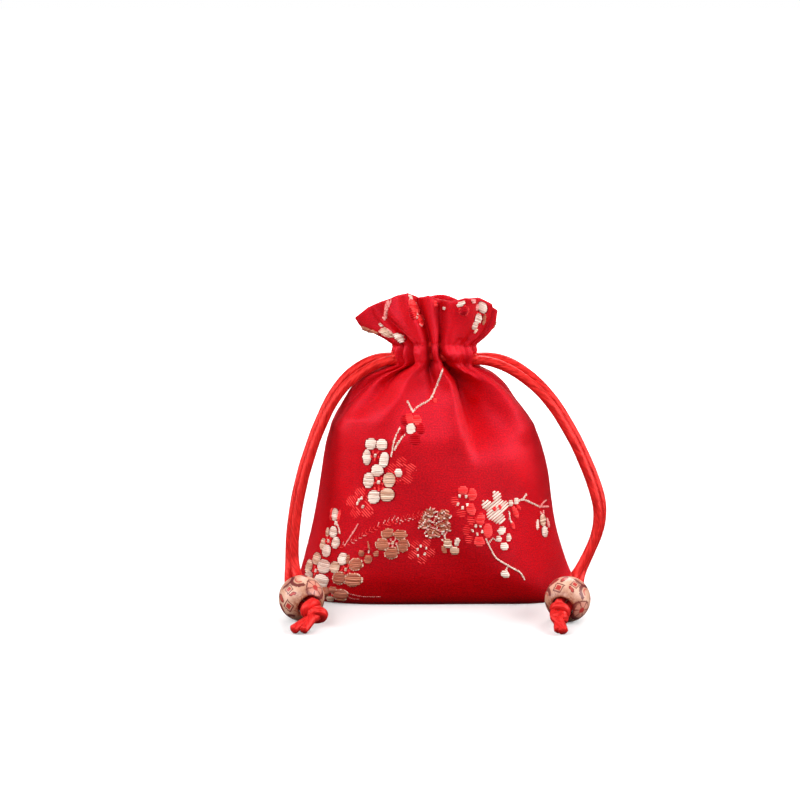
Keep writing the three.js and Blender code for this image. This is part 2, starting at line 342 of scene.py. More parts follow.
class Board:
    """A node tree with short ways to place and join its nodes."""

    def __init__(self, tree: Tree) -> None:
        """Keeps the tree that the nodes go in."""
        self.tree = tree

    def add(self, kind: str, inputs: dict | None = None, **settings: object) -> Node:
        """Places a node.

        Args:
            kind: Blender's name for the node.
            inputs: A value or another node's output for each input, by name or number.
            **settings: The node's own settings.

        Returns:
            The new node.
        """
        node = self.tree.nodes.new(kind)
        for name, value in settings.items():
            setattr(node, name, value)
        for name, value in (inputs or {}).items():
            if isinstance(value, Socket):
                self.tree.links.new(value, node.inputs[name])
            else:
                node.inputs[name].default_value = value
        return node

    def link(self, source: Socket, node: Node, name: str) -> None:
        """Joins a socket to a node's input."""
        self.tree.links.new(source, node.inputs[name])

    def math(self, how: str, *values: object) -> Socket:
        """Result of a Math node on the given values."""
        return self.add("ShaderNodeMath", dict(enumerate(values)), operation=how).outputs[0]

    def remap(self, value: object, *limits: float) -> Socket:
        """A value's share of the way between two limits, or between two more numbers if they follow."""
        return self.add("ShaderNodeMapRange", dict(enumerate((value, *limits)))).outputs[0]

    def vector(self, how: str, *values: object) -> Node:
        """A Vector Math node on the given values."""
        return self.add("ShaderNodeVectorMath", dict(enumerate(values)), operation=how)

    def length(self, across: object, high: object) -> Socket:
        """Distance from the middle of a place given by two numbers."""
        square = self.math("MULTIPLY_ADD", across, across, self.math("MULTIPLY", high, high))
        return self.math("SQRT", square)

    def mix(self, share: object, low: object, high: object) -> Socket:
        """Colour between two colours.

        Args:
            share: How much of the second colour there is.
            low: The first colour.
            high: The second colour.

        Returns:
            The colour's socket.
        """
        inputs = {0: share, 6: rgba(low), 7: rgba(high)}
        return self.add("ShaderNodeMix", inputs, data_type="RGBA").outputs[2]

    def band(self, value: object, low: float, high: float, edge: float) -> Socket:
        """Mask of the places where a value lies between two limits.

        Args:
            value: The value's socket.
            low: The lower limit.
            high: The upper limit.
            edge: Width of the soft edge.

        Returns:
            The mask's socket, 1 inside the limits.
        """
        rise = self.remap(value, low - edge, low + edge)
        fall = self.remap(value, high - edge, high + edge)
        return self.math("SUBTRACT", rise, fall)

    def group(self, made: Tree, inputs: dict) -> Node:
        """Places a node group with its own values."""
        return self.add("ShaderNodeGroup", inputs, node_tree=made)


def rgba(colour: object) -> object:
    """A colour with its fourth number, or a socket as it is."""
    return (*colour, 1.0) if isinstance(colour, tuple) and len(colour) == 3 else colour


def new_group(name: str, inputs: dict[str, str], outputs: dict[str, str]) -> Tree:
    """Starts a shader node group.

    Args:
        name: The group's name.
        inputs: Kind of socket for each input.
        outputs: Kind of socket for each output.

    Returns:
        The group, with its two end nodes placed.
    """
    made = bpy.data.node_groups.new(name, "ShaderNodeTree")
    for label, kind in inputs.items():
        made.interface.new_socket(name=label, in_out="INPUT", socket_type=kind)
    for label, kind in outputs.items():
        made.interface.new_socket(name=label, in_out="OUTPUT", socket_type=kind)
    made.nodes.new("NodeGroupInput")
    made.nodes.new("NodeGroupOutput")
    return made


@dataclass
class Effects:
    """Node groups that the finishes share."""

    weave: Tree = field(init=False)
    mottle: Tree = field(init=False)

    def __post_init__(self) -> None:
        """Builds both groups."""
        self.weave = self.build_weave()
        self.mottle = self.build_mottle()

    def build_weave(self) -> Tree:
        """Long floats of a satin weave, from cloth coordinates in millimetres.

        Returns:
            The node group.
        """
        sockets = {"Place": "NodeSocketVector", "Float": "NodeSocketFloat", "Thread": "NodeSocketFloat"}
        made = new_group("satin_weave", sockets, {"Height": "NodeSocketFloat", "Shade": "NodeSocketFloat"})
        board = Board(made)
        source = made.nodes["Group Input"].outputs
        brick = board.add("ShaderNodeTexBrick", {
            "Vector": source["Place"], "Color1": (0.0, 0.0, 0.0, 1.0), "Color2": (1.0, 1.0, 1.0, 1.0),
            "Mortar": (0.2, 0.2, 0.2, 1.0), "Scale": 1.0, "Mortar Size": 0.035, "Mortar Smooth": 1.0,
            "Brick Width": source["Float"], "Row Height": source["Thread"]}, offset=0.375, squash=1.0)
        height = board.math("SUBTRACT", 1.0, brick.outputs["Fac"])
        made.links.new(height, made.nodes["Group Output"].inputs["Height"])
        made.links.new(brick.outputs["Color"], made.nodes["Group Output"].inputs["Shade"])
        return made

    def build_mottle(self) -> Tree:
        """Soft uneven shade that keeps a surface from looking dipped in one colour.

        Returns:
            The node group.
        """
        sockets = {"Place": "NodeSocketVector", "Broad": "NodeSocketFloat", "Fine": "NodeSocketFloat"}
        made = new_group("uneven_shade", sockets, {"Broad": "NodeSocketFloat", "Fine": "NodeSocketFloat"})
        board = Board(made)
        source = made.nodes["Group Input"].outputs
        for label, detail in (("Broad", 3.0), ("Fine", 2.0)):
            noise = board.add("ShaderNodeTexNoise", {
                "Vector": source["Place"], "Scale": source[label], "Detail": detail, "Roughness": 0.6})
            made.links.new(noise.outputs[0], made.nodes["Group Output"].inputs[label])
        return made


@dataclass(frozen=True)
class Finish:
    """A finish with one Principled shader."""

    name: str
    roughness: float = 0.5
    specular: float = 0.5
    tint: Colour = (1.0, 1.0, 1.0)
    sheen: float = 0.0
    sheen_tint: Colour = (1.0, 1.0, 1.0)
    sheen_roughness: float = 0.4
    stretch: float = 0.0
    metal: float = 0.0
    broad: float = 0.5
    fine: float = 5.0
    broad_share: float = 0.4
    tone: Span = (0.3, 0.85)
    rough_swing: float = 0.2
    rough_drop: float = 0.1
    relief: float = 0.00004

    def start(self) -> tuple[Material, Board, Node]:
        """Makes the material with its shader and the numbers that hold all over it.

        Returns:
            The material, its board and its shader node.
        """
        made = bpy.data.materials.new(self.name)
        made.use_nodes = True
        shader = made.node_tree.nodes["Principled BSDF"]
        plain = {
            "Roughness": self.roughness, "Specular IOR Level": self.specular,
            "Specular Tint": rgba(self.tint), "Sheen Weight": self.sheen, "Sheen Tint": rgba(self.sheen_tint),
            "Sheen Roughness": self.sheen_roughness, "Anisotropic": self.stretch, "Metallic": self.metal}
        for label, value in plain.items():
            shader.inputs[label].default_value = value
        return made, Board(made.node_tree), shader

    def mottled(self, board: Board, effects: Effects, place: object) -> tuple[object, object]:
        """Broad and fine unevenness at each place of the surface."""
        mottle = board.group(effects.mottle, {"Place": place, "Broad": self.broad, "Fine": self.fine})
        return mottle.outputs["Broad"], mottle.outputs["Fine"]

    def toned(self, board: Board, share: object, low: Colour, high: Colour) -> Socket:
        """Colour between two colours, by where a share lies between the tone's limits."""
        return board.mix(board.remap(share, *self.tone), low, high)

    def coloured(self, board: Board, shader: Node, colour: object, grain: object,
                 height: object) -> None:
        """Joins a colour, an uneven roughness and a relief to the shader.

        Args:
            board: The material's board.
            shader: Its shader node.
            colour: The colour's socket.
            grain: Unevenness of the roughness.
            height: Height of the relief.
        """
        board.link(colour, shader, "Base Color")
        rough = board.math("MULTIPLY_ADD", grain, self.rough_swing, self.roughness - self.rough_drop)
        board.link(rough, shader, "Roughness")
        bump = board.add("ShaderNodeBump", {"Height": height, "Distance": self.relief, "Strength": 1.0})
        board.link(bump.outputs[0], shader, "Normal")


@dataclass(frozen=True)
class SatinGround(Finish):
    """The red satin that the pattern floats on."""

    broad: float = 0.08
    fine: float = 2.6
    tone: Span = (0.8, 1.3)
    rough_drop: float = 0.17
    relief: float = 0.00005
    lit: Colour = (0.8, 0.0008, 0.003)
    deep: Colour = (0.43, 0.0002, 0.0009)
    float_length: float = 1.1
    thread_width: float = 0.16
    weave_share: float = 0.2
    weave_height: float = 0.5
    fine_share: float = 1.5

    def material(self, effects: Effects) -> Material:
        """Builds the satin.

        Args:
            effects: The shared node groups.

        Returns:
            The material.
        """
        made, board, shader = self.start()
        cloth = board.add("ShaderNodeUVMap", None, uv_map="cloth").outputs[0]
        sizes = {"Place": cloth, "Float": self.float_length, "Thread": self.thread_width}
        weave = board.group(effects.weave, sizes).outputs
        broad, fine = self.mottled(board, effects, cloth)
        grain = board.math("MULTIPLY", fine, self.fine_share)
        grain = board.math("MULTIPLY_ADD", weave["Shade"], self.weave_share, grain)
        share = board.math("MULTIPLY_ADD", broad, self.broad_share, grain)
        height = board.math("MULTIPLY_ADD", weave["Height"], self.weave_height, fine)
        self.coloured(board, shader, self.toned(board, share, self.deep, self.lit), grain, height)
        return made


@dataclass(frozen=True)
class WeftThread(Finish):
    """Lustrous weft of one colour."""

    broad_share: float = 0.6
    strand_share: float = 0.7
    light: Colour = (0.9, 0.75, 0.68)
    dark: Colour = (0.7, 0.5, 0.42)

    def material(self, effects: Effects) -> Material:
        """Builds the thread.

        Args:
            effects: The shared node groups.

        Returns:
            The material.
        """
        made, board, shader = self.start()
        cloth = board.add("ShaderNodeUVMap", None, uv_map="cloth").outputs[0]
        strand = board.add("ShaderNodeAttribute", None, attribute_name="strand").outputs["Fac"]
        broad, fine = self.mottled(board, effects, cloth)
        share = board.math("MULTIPLY", strand, self.strand_share)
        share = board.math("MULTIPLY_ADD", broad, self.broad_share, share)
        self.coloured(board, shader, self.toned(board, share, self.dark, self.light), fine, fine)
        return made


@dataclass(frozen=True)
class SatinCord(Finish):
    """Fine fibres of a satin cord, which run along it with a slow twist."""

    broad: float = 0.35
    fine: float = 1.0
    tone: Span = (0.35, 0.85)
    relief: float = 0.0002
    light: Colour = (0.96, 0.03, 0.027)
    dark: Colour = (0.34, 0.002, 0.002)
    twist: float = 0.05
    fibres_across: float = 15.0
    fibres_along: float = 0.32
    fine_share: float = 0.8

    def material(self, effects: Effects) -> Material:
        """Builds the cord's satin.

        Args:
            effects: The shared node groups.

        Returns:
            The material.
        """
        made, board, shader = self.start()
        cloth = board.add("ShaderNodeUVMap", None, uv_map="cloth").outputs[0]
        around, run, _ = board.add("ShaderNodeSeparateXYZ", {0: cloth}).outputs
        turned = board.math("MULTIPLY_ADD", run, self.twist, around)
        across = board.math("MULTIPLY", turned, self.fibres_across)
        along = board.math("MULTIPLY", run, self.fibres_along)
        place = board.add("ShaderNodeCombineXYZ", {0: across, 1: along}).outputs[0]
        broad, fine = self.mottled(board, effects, place)
        share = board.math("MULTIPLY", broad, self.broad_share)
        share = board.math("MULTIPLY_ADD", fine, self.fine_share, share)
        self.coloured(board, shader, self.toned(board, share, self.dark, self.light), fine, fine)
        return made


class Ornament(Enum):
    """Small figures that are printed on a bead."""

    LOZENGE = "lozenge"
    ROSETTE = "rosette"
    ARCH = "arch"
    LEAF = "leaf"


@dataclass(frozen=True)
class Stamp:
    """One printed figure: its kind, its place on the bead, its spin and its size.

    The polar angle starts at the hole's front end, and the other at the camera's right, in degrees.
    """

    kind: Ornament
    polar: float
    around: float
    spin: float = 0.0
    size: float = 1.0

    def axes(self) -> list[Point]:
        """Directions to the figure's right, up along it and out of the bead.

        Returns:
            The three directions.
        """
        polar, around, spin = (math.radians(value) for value in (self.polar, self.around, self.spin))
        flat = math.sin(polar)
        out = Vector((flat * math.cos(around), flat * math.sin(around), math.cos(polar)))
        right = Vector((0.0, 0.0, 1.0)).cross(out).normalized()
        up = out.cross(right)
        turned = right * math.cos(spin) + up * math.sin(spin)
        return [tuple(turned), tuple(out.cross(turned)), tuple(out)]


LOZENGE, ROSETTE, ARCH, LEAF = Ornament
STAMPS: tuple[Stamp, ...] = tuple(Stamp(*row) for row in (
    (LOZENGE, 58, 106, 20, 1.15), (ROSETTE, 56, -12, 20, 1.35), (ARCH, 60, 164, 130, 1.2),
    (ARCH, 86, 26, -70, 1.2), (LEAF, 84, 126, 20, 1.0), (LEAF, 88, 96, 70, 0.9), (LOZENGE, 78, 64, 40, 0.9),
    (LEAF, 60, 66, -30, 0.6), (ROSETTE, 70, -104, 0, 1.3), (LOZENGE, 92, -52, 30, 1.0),
    (ARCH, 58, -156, 40, 1.0), (LEAF, 96, 176, 60, 1.1), (ROSETTE, 108, 146, 0, 1.3),
    (LOZENGE, 114, 98, 0, 1.0), (ARCH, 114, 56, 30, 1.2), (LEAF, 108, 4, 80, 1.0),
    (ARCH, 114, -106, -40, 1.2), (LOZENGE, 100, -146, 15, 1.1), (ROSETTE, 130, -56, 0, 1.2),
    (ARCH, 140, 116, 60, 1.0), (LEAF, 138, 30, 20, 1.0), (LEAF, 132, -160, 70, 1.0)))


@dataclass(frozen=True)
class Ink:
    """A printed band of one colour: its two limits and its soft edge in millimetres, and its strength."""

    colour: Colour
    low: float
    high: float
    edge: float
    strength: float = 1.0


BROWN, RED, BLUSH = (0.13, 0.007, 0.011), (0.45, 0.02, 0.02), (0.66, 0.22, 0.17)

# Bands of each figure, in the order of their printing
PRINTS: dict[Ornament, tuple[Ink, ...]] = {
    LOZENGE: (Ink(BROWN, 1.2, 1.6, 0.06, 0.9), Ink(RED, -1.0, 0.85, 0.08, 0.95)),
    ROSETTE: (
        Ink(BLUSH, 0.75, 1.7, 0.1, 0.55), Ink(BROWN, 0.75, 1.8, 0.08, 0.75),
        Ink(BROWN, 1.72, 1.98, 0.07, 0.9), Ink(BROWN, 1.75, 2.4, 0.07), Ink(RED, -1.0, 0.66, 0.1, 0.95)),
    ARCH: (Ink(BROWN, 1.35, 2.15, 0.09, 0.92), Ink(RED, 0.75, 1.1, 0.08, 0.8)),
    LEAF: (Ink(RED, -1.0, 1.7, 0.12, 0.9), Ink(BROWN, 1.2, 1.75, 0.12, 0.8))}


@dataclass(frozen=True)
class PrintedWood(Finish):
    """Varnished pale wood with small printed figures, darker round the hole: partly scorch, partly painted
    shade of the hole and the knot.
    """

    broad: float = 0.3
    fine: float = 1.6
    tone: Span = (0.4, 0.8)
    rough_swing: float = 0.16
    rough_drop: float = 0.08
    relief: float = 0.00002
    pale: Colour = (0.74, 0.46, 0.34)
    warm: Colour = (0.56, 0.27, 0.17)
    # Darker round both ends of the hole: partly scorch, partly painted shade
    scorch_and_shade: Colour = (0.25, 0.055, 0.022)
    scorch_and_shade_limits: Span = (2.76, 5.16)
    scorch_and_shade_strength: float = 1.8
    coat: float = 0.12
    coat_roughness: float = 0.25
    fibre_stretch: Point = (1.0, 1.0, 0.12)
    fibre_broad: float = 1.1
    fibre_fine: float = 4.0
    fibre_share: float = 0.8
    near: Point = (2.0, 90.0, 0.6)
    wobble: float = 0.7
    spoke_pairs: float = 3.0
    spoke: Point = (-1.0, 0.3, 0.08)
    crescent: tuple[float, ...] = (-0.4, 1.4, 0.0, 0.5)
    crescent_strength: float = 1.7
    arch_half: Point = (0.15, 9.0, 0.15)
    leaf_taper: float = 2.3

    def material(self, effects: Effects) -> Material:
        """Builds the printed wood.

        Args:
            effects: The shared node groups.

        Returns:
            The material.
        """
        made, board, shader = self.start()
        shader.inputs["Coat Weight"].default_value = self.coat
        shader.inputs["Coat Roughness"].default_value = self.coat_roughness
        place = board.add("ShaderNodeTexCoord").outputs["Object"]
        mm = board.vector("MULTIPLY", place, (1.0 / MM,) * 3).outputs[0]
        broad, fine = self.mottled(board, effects, mm)
        grain = board.vector("MULTIPLY", mm, self.fibre_stretch).outputs[0]
        sizes = {"Place": grain, "Broad": self.fibre_broad, "Fine": self.fibre_fine}
        fibre = board.group(effects.mottle, sizes).outputs
        share = board.math("MULTIPLY", broad, self.broad_share)
        share = board.math("MULTIPLY_ADD", fibre["Broad"], self.fibre_share, share)
        printed = self.toned(board, share, self.warm, self.pale)
        # Darkens near both ends of the hole: partly scorch, partly painted shade of the hole and the knot
        along = board.math("ABSOLUTE", board.add("ShaderNodeSeparateXYZ", {0: mm}).outputs[2])
        scorch_and_shade_mask = board.remap(along, *self.scorch_and_shade_limits, 0.0, self.scorch_and_shade_strength)
        printed = board.mix(board.math("MULTIPLY", scorch_and_shade_mask, fine), printed, self.scorch_and_shade)
        for stamp in STAMPS:
            printed = self.stamped(board, stamp, mm, fine, printed)
        self.coloured(board, shader, printed, fine, fibre["Fine"])
        return made

    def stamped(self, board: Board, stamp: Stamp, mm: Socket, waver: Socket, under: Socket) -> Socket:
        """Prints one figure over the colours under it.

        Args:
            board: The material's board.
            stamp: The figure.
            mm: Place on the bead in millimetres.
            waver: A fine unevenness for the print's edges.
            under: The colour under the figure.

        Returns:
            The printed colour.
        """
        right, up, out = (board.vector("DOT_PRODUCT", mm, axis).outputs["Value"] for axis in stamp.axes())
        near = board.band(out, *self.near)
        wobble = board.math("MULTIPLY_ADD", waver, self.wobble, -self.wobble / 2)
        across = board.math("DIVIDE", board.math("ADD", right, wobble), stamp.size)
        high = board.math("DIVIDE", board.math("SUBTRACT", up, wobble), stamp.size)
        for ink, (far, part) in zip(PRINTS[stamp.kind], self.figure(board, stamp.kind, across, high)):
            mask = board.math("MULTIPLY", board.band(far, ink.low, ink.high, ink.edge), near)
            mask = board.math("MULTIPLY", mask, part)
            under = board.mix(board.math("MULTIPLY", mask, ink.strength), under, ink.colour)
        return under

    def figure(self, board: Board, kind: Ornament, across: object,
               high: object) -> list[tuple[object, object]]:
        """How far each band of a figure is measured out, and which part of the band is printed.

        Args:
            board: The material's board.
            kind: The figure's kind.
            across: Place to the right of the figure's middle.
            high: Place above the figure's middle.

        Returns:
            A distance and a mask for each band.
        """
        if kind is LOZENGE:
            far = board.math("ADD", board.math("ABSOLUTE", across), board.math("ABSOLUTE", high))
            return [(far, 1.0)] * 2
        if kind is LEAF:
            blade = board.length(across, board.math("MULTIPLY", high, self.leaf_taper))
            return [(blade, 1.0)] * 2
        ring = board.length(across, high)
        if kind is ARCH:
            return [(ring, board.band(high, *self.arch_half))] * 2
        spoke = board.math("MULTIPLY", board.math("ARCTAN2", high, across), self.spoke_pairs)
        spoke = board.band(board.math("ABSOLUTE", board.math("SINE", spoke)), *self.spoke)
        thick = board.remap(high, *self.crescent)
        shade = board.math("MULTIPLY", thick, self.crescent_strength)
        rim = board.math("SUBTRACT", ring, thick)
        return [(ring, 1.0), (ring, spoke), (rim, 1.0), (ring, shade), (ring, 1.0)]


@dataclass(frozen=True)
class PaperFloor(Finish):
    """Pale matt paper under the pouch."""

    broad: float = 3.0
    fine: float = 400.0
    pale: Colour = (0.9, 0.9, 0.9)
    shade: Colour = (0.87, 0.87, 0.87)
    glow: float = 0.9
    near_glow: float = 0.1
    near: float = 0.12
    far: float = 0.4

    def material(self, effects: Effects) -> Material:
        """Builds the paper, which glows away from the pouch.

        Args:
            effects: The shared node groups.

        Returns:
            The material.
        """
        made, board, shader = self.start()
        place = board.add("ShaderNodeTexCoord").outputs["Object"]
        broad, _ = self.mottled(board, effects, place)
        board.link(board.mix(broad, self.shade, self.pale), shader, "Base Color")
        away = board.vector("LENGTH", place).outputs["Value"]
        away = board.remap(away, self.near, self.far, self.near_glow, 1.0)
        board.link(board.mix(away, (0.0, 0.0, 0.0), self.pale), shader, "Emission Color")
        shader.inputs["Emission Strength"].default_value = self.glow
        return made


@dataclass
class Wardrobe:
    """Every finish of the pouch, built once."""

    effects: Effects = field(default_factory=Effects)
    satin: Material = field(init=False)
    threads: dict[Thread, Material] = field(init=False)
    cord: Material = field(init=False)
    wood: Material = field(init=False)
    paper: Material = field(init=False)

    def __post_init__(self) -> None:
        """Builds the materials."""
        crimson = (1.0, 0.12, 0.25)
        lustre = (1.0, 0.17, 0.32)
        self.satin = SatinGround(
            "red_satin", 0.44, 1.0, lustre, 0.03, lustre, 0.4, 0.8, 0.1).material(self.effects)
        cream = (1.0, 0.93, 0.86)
        warm = (1.0, 0.4, 0.36)
        looks = {
            Thread.IVORY: ((0.95, 0.77, 0.67), (0.66, 0.42, 0.34), cream),
            # The next two are the ivory weft darkened as painted shade, for ivory thread turned from the
            # lights
            Thread.HALF_SHADED_IVORY: ((0.92, 0.66, 0.5), (0.55, 0.27, 0.17), cream),
            Thread.TAN: ((0.56, 0.17, 0.092), (0.35, 0.065, 0.032), cream),
            Thread.CORAL: ((1.0, 0.07, 0.07), (0.82, 0.014, 0.02), warm),
            Thread.GARNET: ((0.53, 0.004, 0.008), (0.38, 0.001, 0.003), crimson),
            Thread.ROSE: ((0.95, 0.42, 0.38), (0.72, 0.16, 0.15), cream),
            # Ring round ivory lobes: partly outline thread, partly painted shade
            Thread.OUTLINE_AND_SHADE: ((0.24, 0.004, 0.008), (0.14, 0.002, 0.004), crimson)}
        self.threads = {}
        for thread, (light, dark, tint) in looks.items():
            finish = WeftThread(
                f"{thread.value}_weft", 0.36, 0.5, tint, 0.08, tint, 0.35, 0.3, light=light, dark=dark)
            self.threads[thread] = finish.material(self.effects)
        self.cord = SatinCord(
            "red_cord_satin", 0.36, 0.4, warm, 0.06, warm, 0.35, 0.0, 0.15).material(self.effects)
        self.wood = PrintedWood("printed_wood", 0.34, 0.3).material(self.effects)
        self.paper = PaperFloor("pale_paper", 0.75, 0.2).material(self.effects)


# The pouch's cloth


@dataclass(frozen=True)
class Fold:
    """A fold that runs down the cloth.

    Columns: level, bearing, half width to the left and to the right in degrees, depth in mm.
    A negative depth is a ridge.
    """

    rows: Table
    edge: float = 1.7

    def depth(self, bearing: np.ndarray, level: np.ndarray) -> np.ndarray:
        """How far the fold pushes each place of the cloth inwards.

        Args:
            bearing: Bearing of each place.
            level: Level of each place.

        Returns:
            The depth in millimetres.
        """
        rows = catmull_rom(np.array(self.rows, dtype=float), 12)
        place, left, right, depth = columns_at(level, rows)
        off = off_bearing(bearing, place)
        return depth * np.exp(-np.abs(off / np.where(off < 0, left, right)) ** self.edge)


@dataclass(frozen=True)
class Gathers:
    """Short uneven puckers where a row of stitches draws the cloth together."""

    level: float
    count: int
    seed: int
    stray: float = 0.35
    wide: Span = (2.4, 4.0)
    deep: Span = (0.15, 0.75)
    lean: float = 2.5
    below: Span = (2.0, 4.2)
    above: Span = (2.0, 3.6)
    mouth_clear: float = 10.0

    def folds(self) -> list[Fold]:
        """The puckers, none of them at the casing's two mouths.

        Returns:
            One fold for each pucker.
        """
        chance = np.random.default_rng(self.seed)
        made = []
        for number in range(self.count):
            stray = chance.uniform(-self.stray, self.stray)
            bearing = (number + stray) * 360.0 / self.count - 180.0
            wide, depth = chance.uniform(*self.wide), chance.uniform(*self.deep)
            lean = chance.uniform(-self.lean, self.lean)
            low, high = self.level - chance.uniform(*self.below), self.level + chance.uniform(*self.above)
            if abs(abs(bearing) - 90.0) > self.mouth_clear:
                rows = ((low, -lean, 0.0), (self.level, 0.0, depth), (high, lean, 0.0))
                made.append(Fold(tuple((at, bearing + off, wide, wide, deep) for at, off, deep in rows)))
        return made


# Levels of the casing's two rows of stitches
STITCH_LEVELS: Span = (66.3, 71.3)


# Level, half width, half depth, shift, fullness, corner, side drop and back drop of each section
SECTIONS: Table = (
    (0.0, 36.6, 8.4, 0.0, 6.0, 0.8, 0.0, 0.0), (1.4, 37.3, 10.0, -0.1, 5.6, 0.78, 0.0, 0.0),
    (4.2, 37.2, 11.6, -0.2, 5.0, 0.74, 0.0, 0.0), (9.6, 35.4, 13.6, -0.6, 4.4, 0.68, 0.0, 0.0),
    (18.0, 33.1, 15.3, -0.8, 3.8, 0.68, 0.0, 0.0), (26.5, 31.6, 16.1, -0.8, 3.5, 0.68, 0.0, 0.0),
    (35.0, 30.3, 16.4, -0.8, 3.3, 0.68, 0.2, 0.0), (42.4, 28.8, 16.4, -1.1, 3.1, 0.66, 0.5, 0.0),
    (46.4, 27.6, 16.0, -1.3, 3.0, 0.65, 0.7, 0.0), (49.6, 26.5, 15.0, -1.5, 2.8, 0.64, 0.9, 0.0),
    (55.6, 23.2, 12.4, -2.1, 2.4, 0.6, 1.3, 0.0), (60.0, 20.4, 10.6, -2.1, 2.1, 0.55, 1.6, 0.0),
    (63.2, 16.8, 9.9, -1.9, 2.0, 0.5, 1.8, 0.0), (65.2, 12.8, 9.5, -1.3, 2.0, 0.5, 2.0, 0.0),
    (66.6, 11.2, 9.3, -0.8, 2.0, 0.5, 2.0, 0.0),
    (68.8, 11.3, 9.3, -0.8, 2.0, 0.5, 2.0, 0.0), (71.2, 11.2, 9.0, -0.8, 2.0, 0.5, 2.0, 0.0),
    (72.8, 12.2, 8.7, -0.9, 2.0, 0.5, 2.4, 0.3), (75.0, 13.8, 8.2, -1.1, 2.0, 0.5, 3.2, 0.8),
    (80.0, 17.0, 7.1, -1.8, 2.0, 0.5, 4.8, 2.2), (84.9, 18.6, 6.2, -2.3, 2.0, 0.5, 5.6, 3.4))

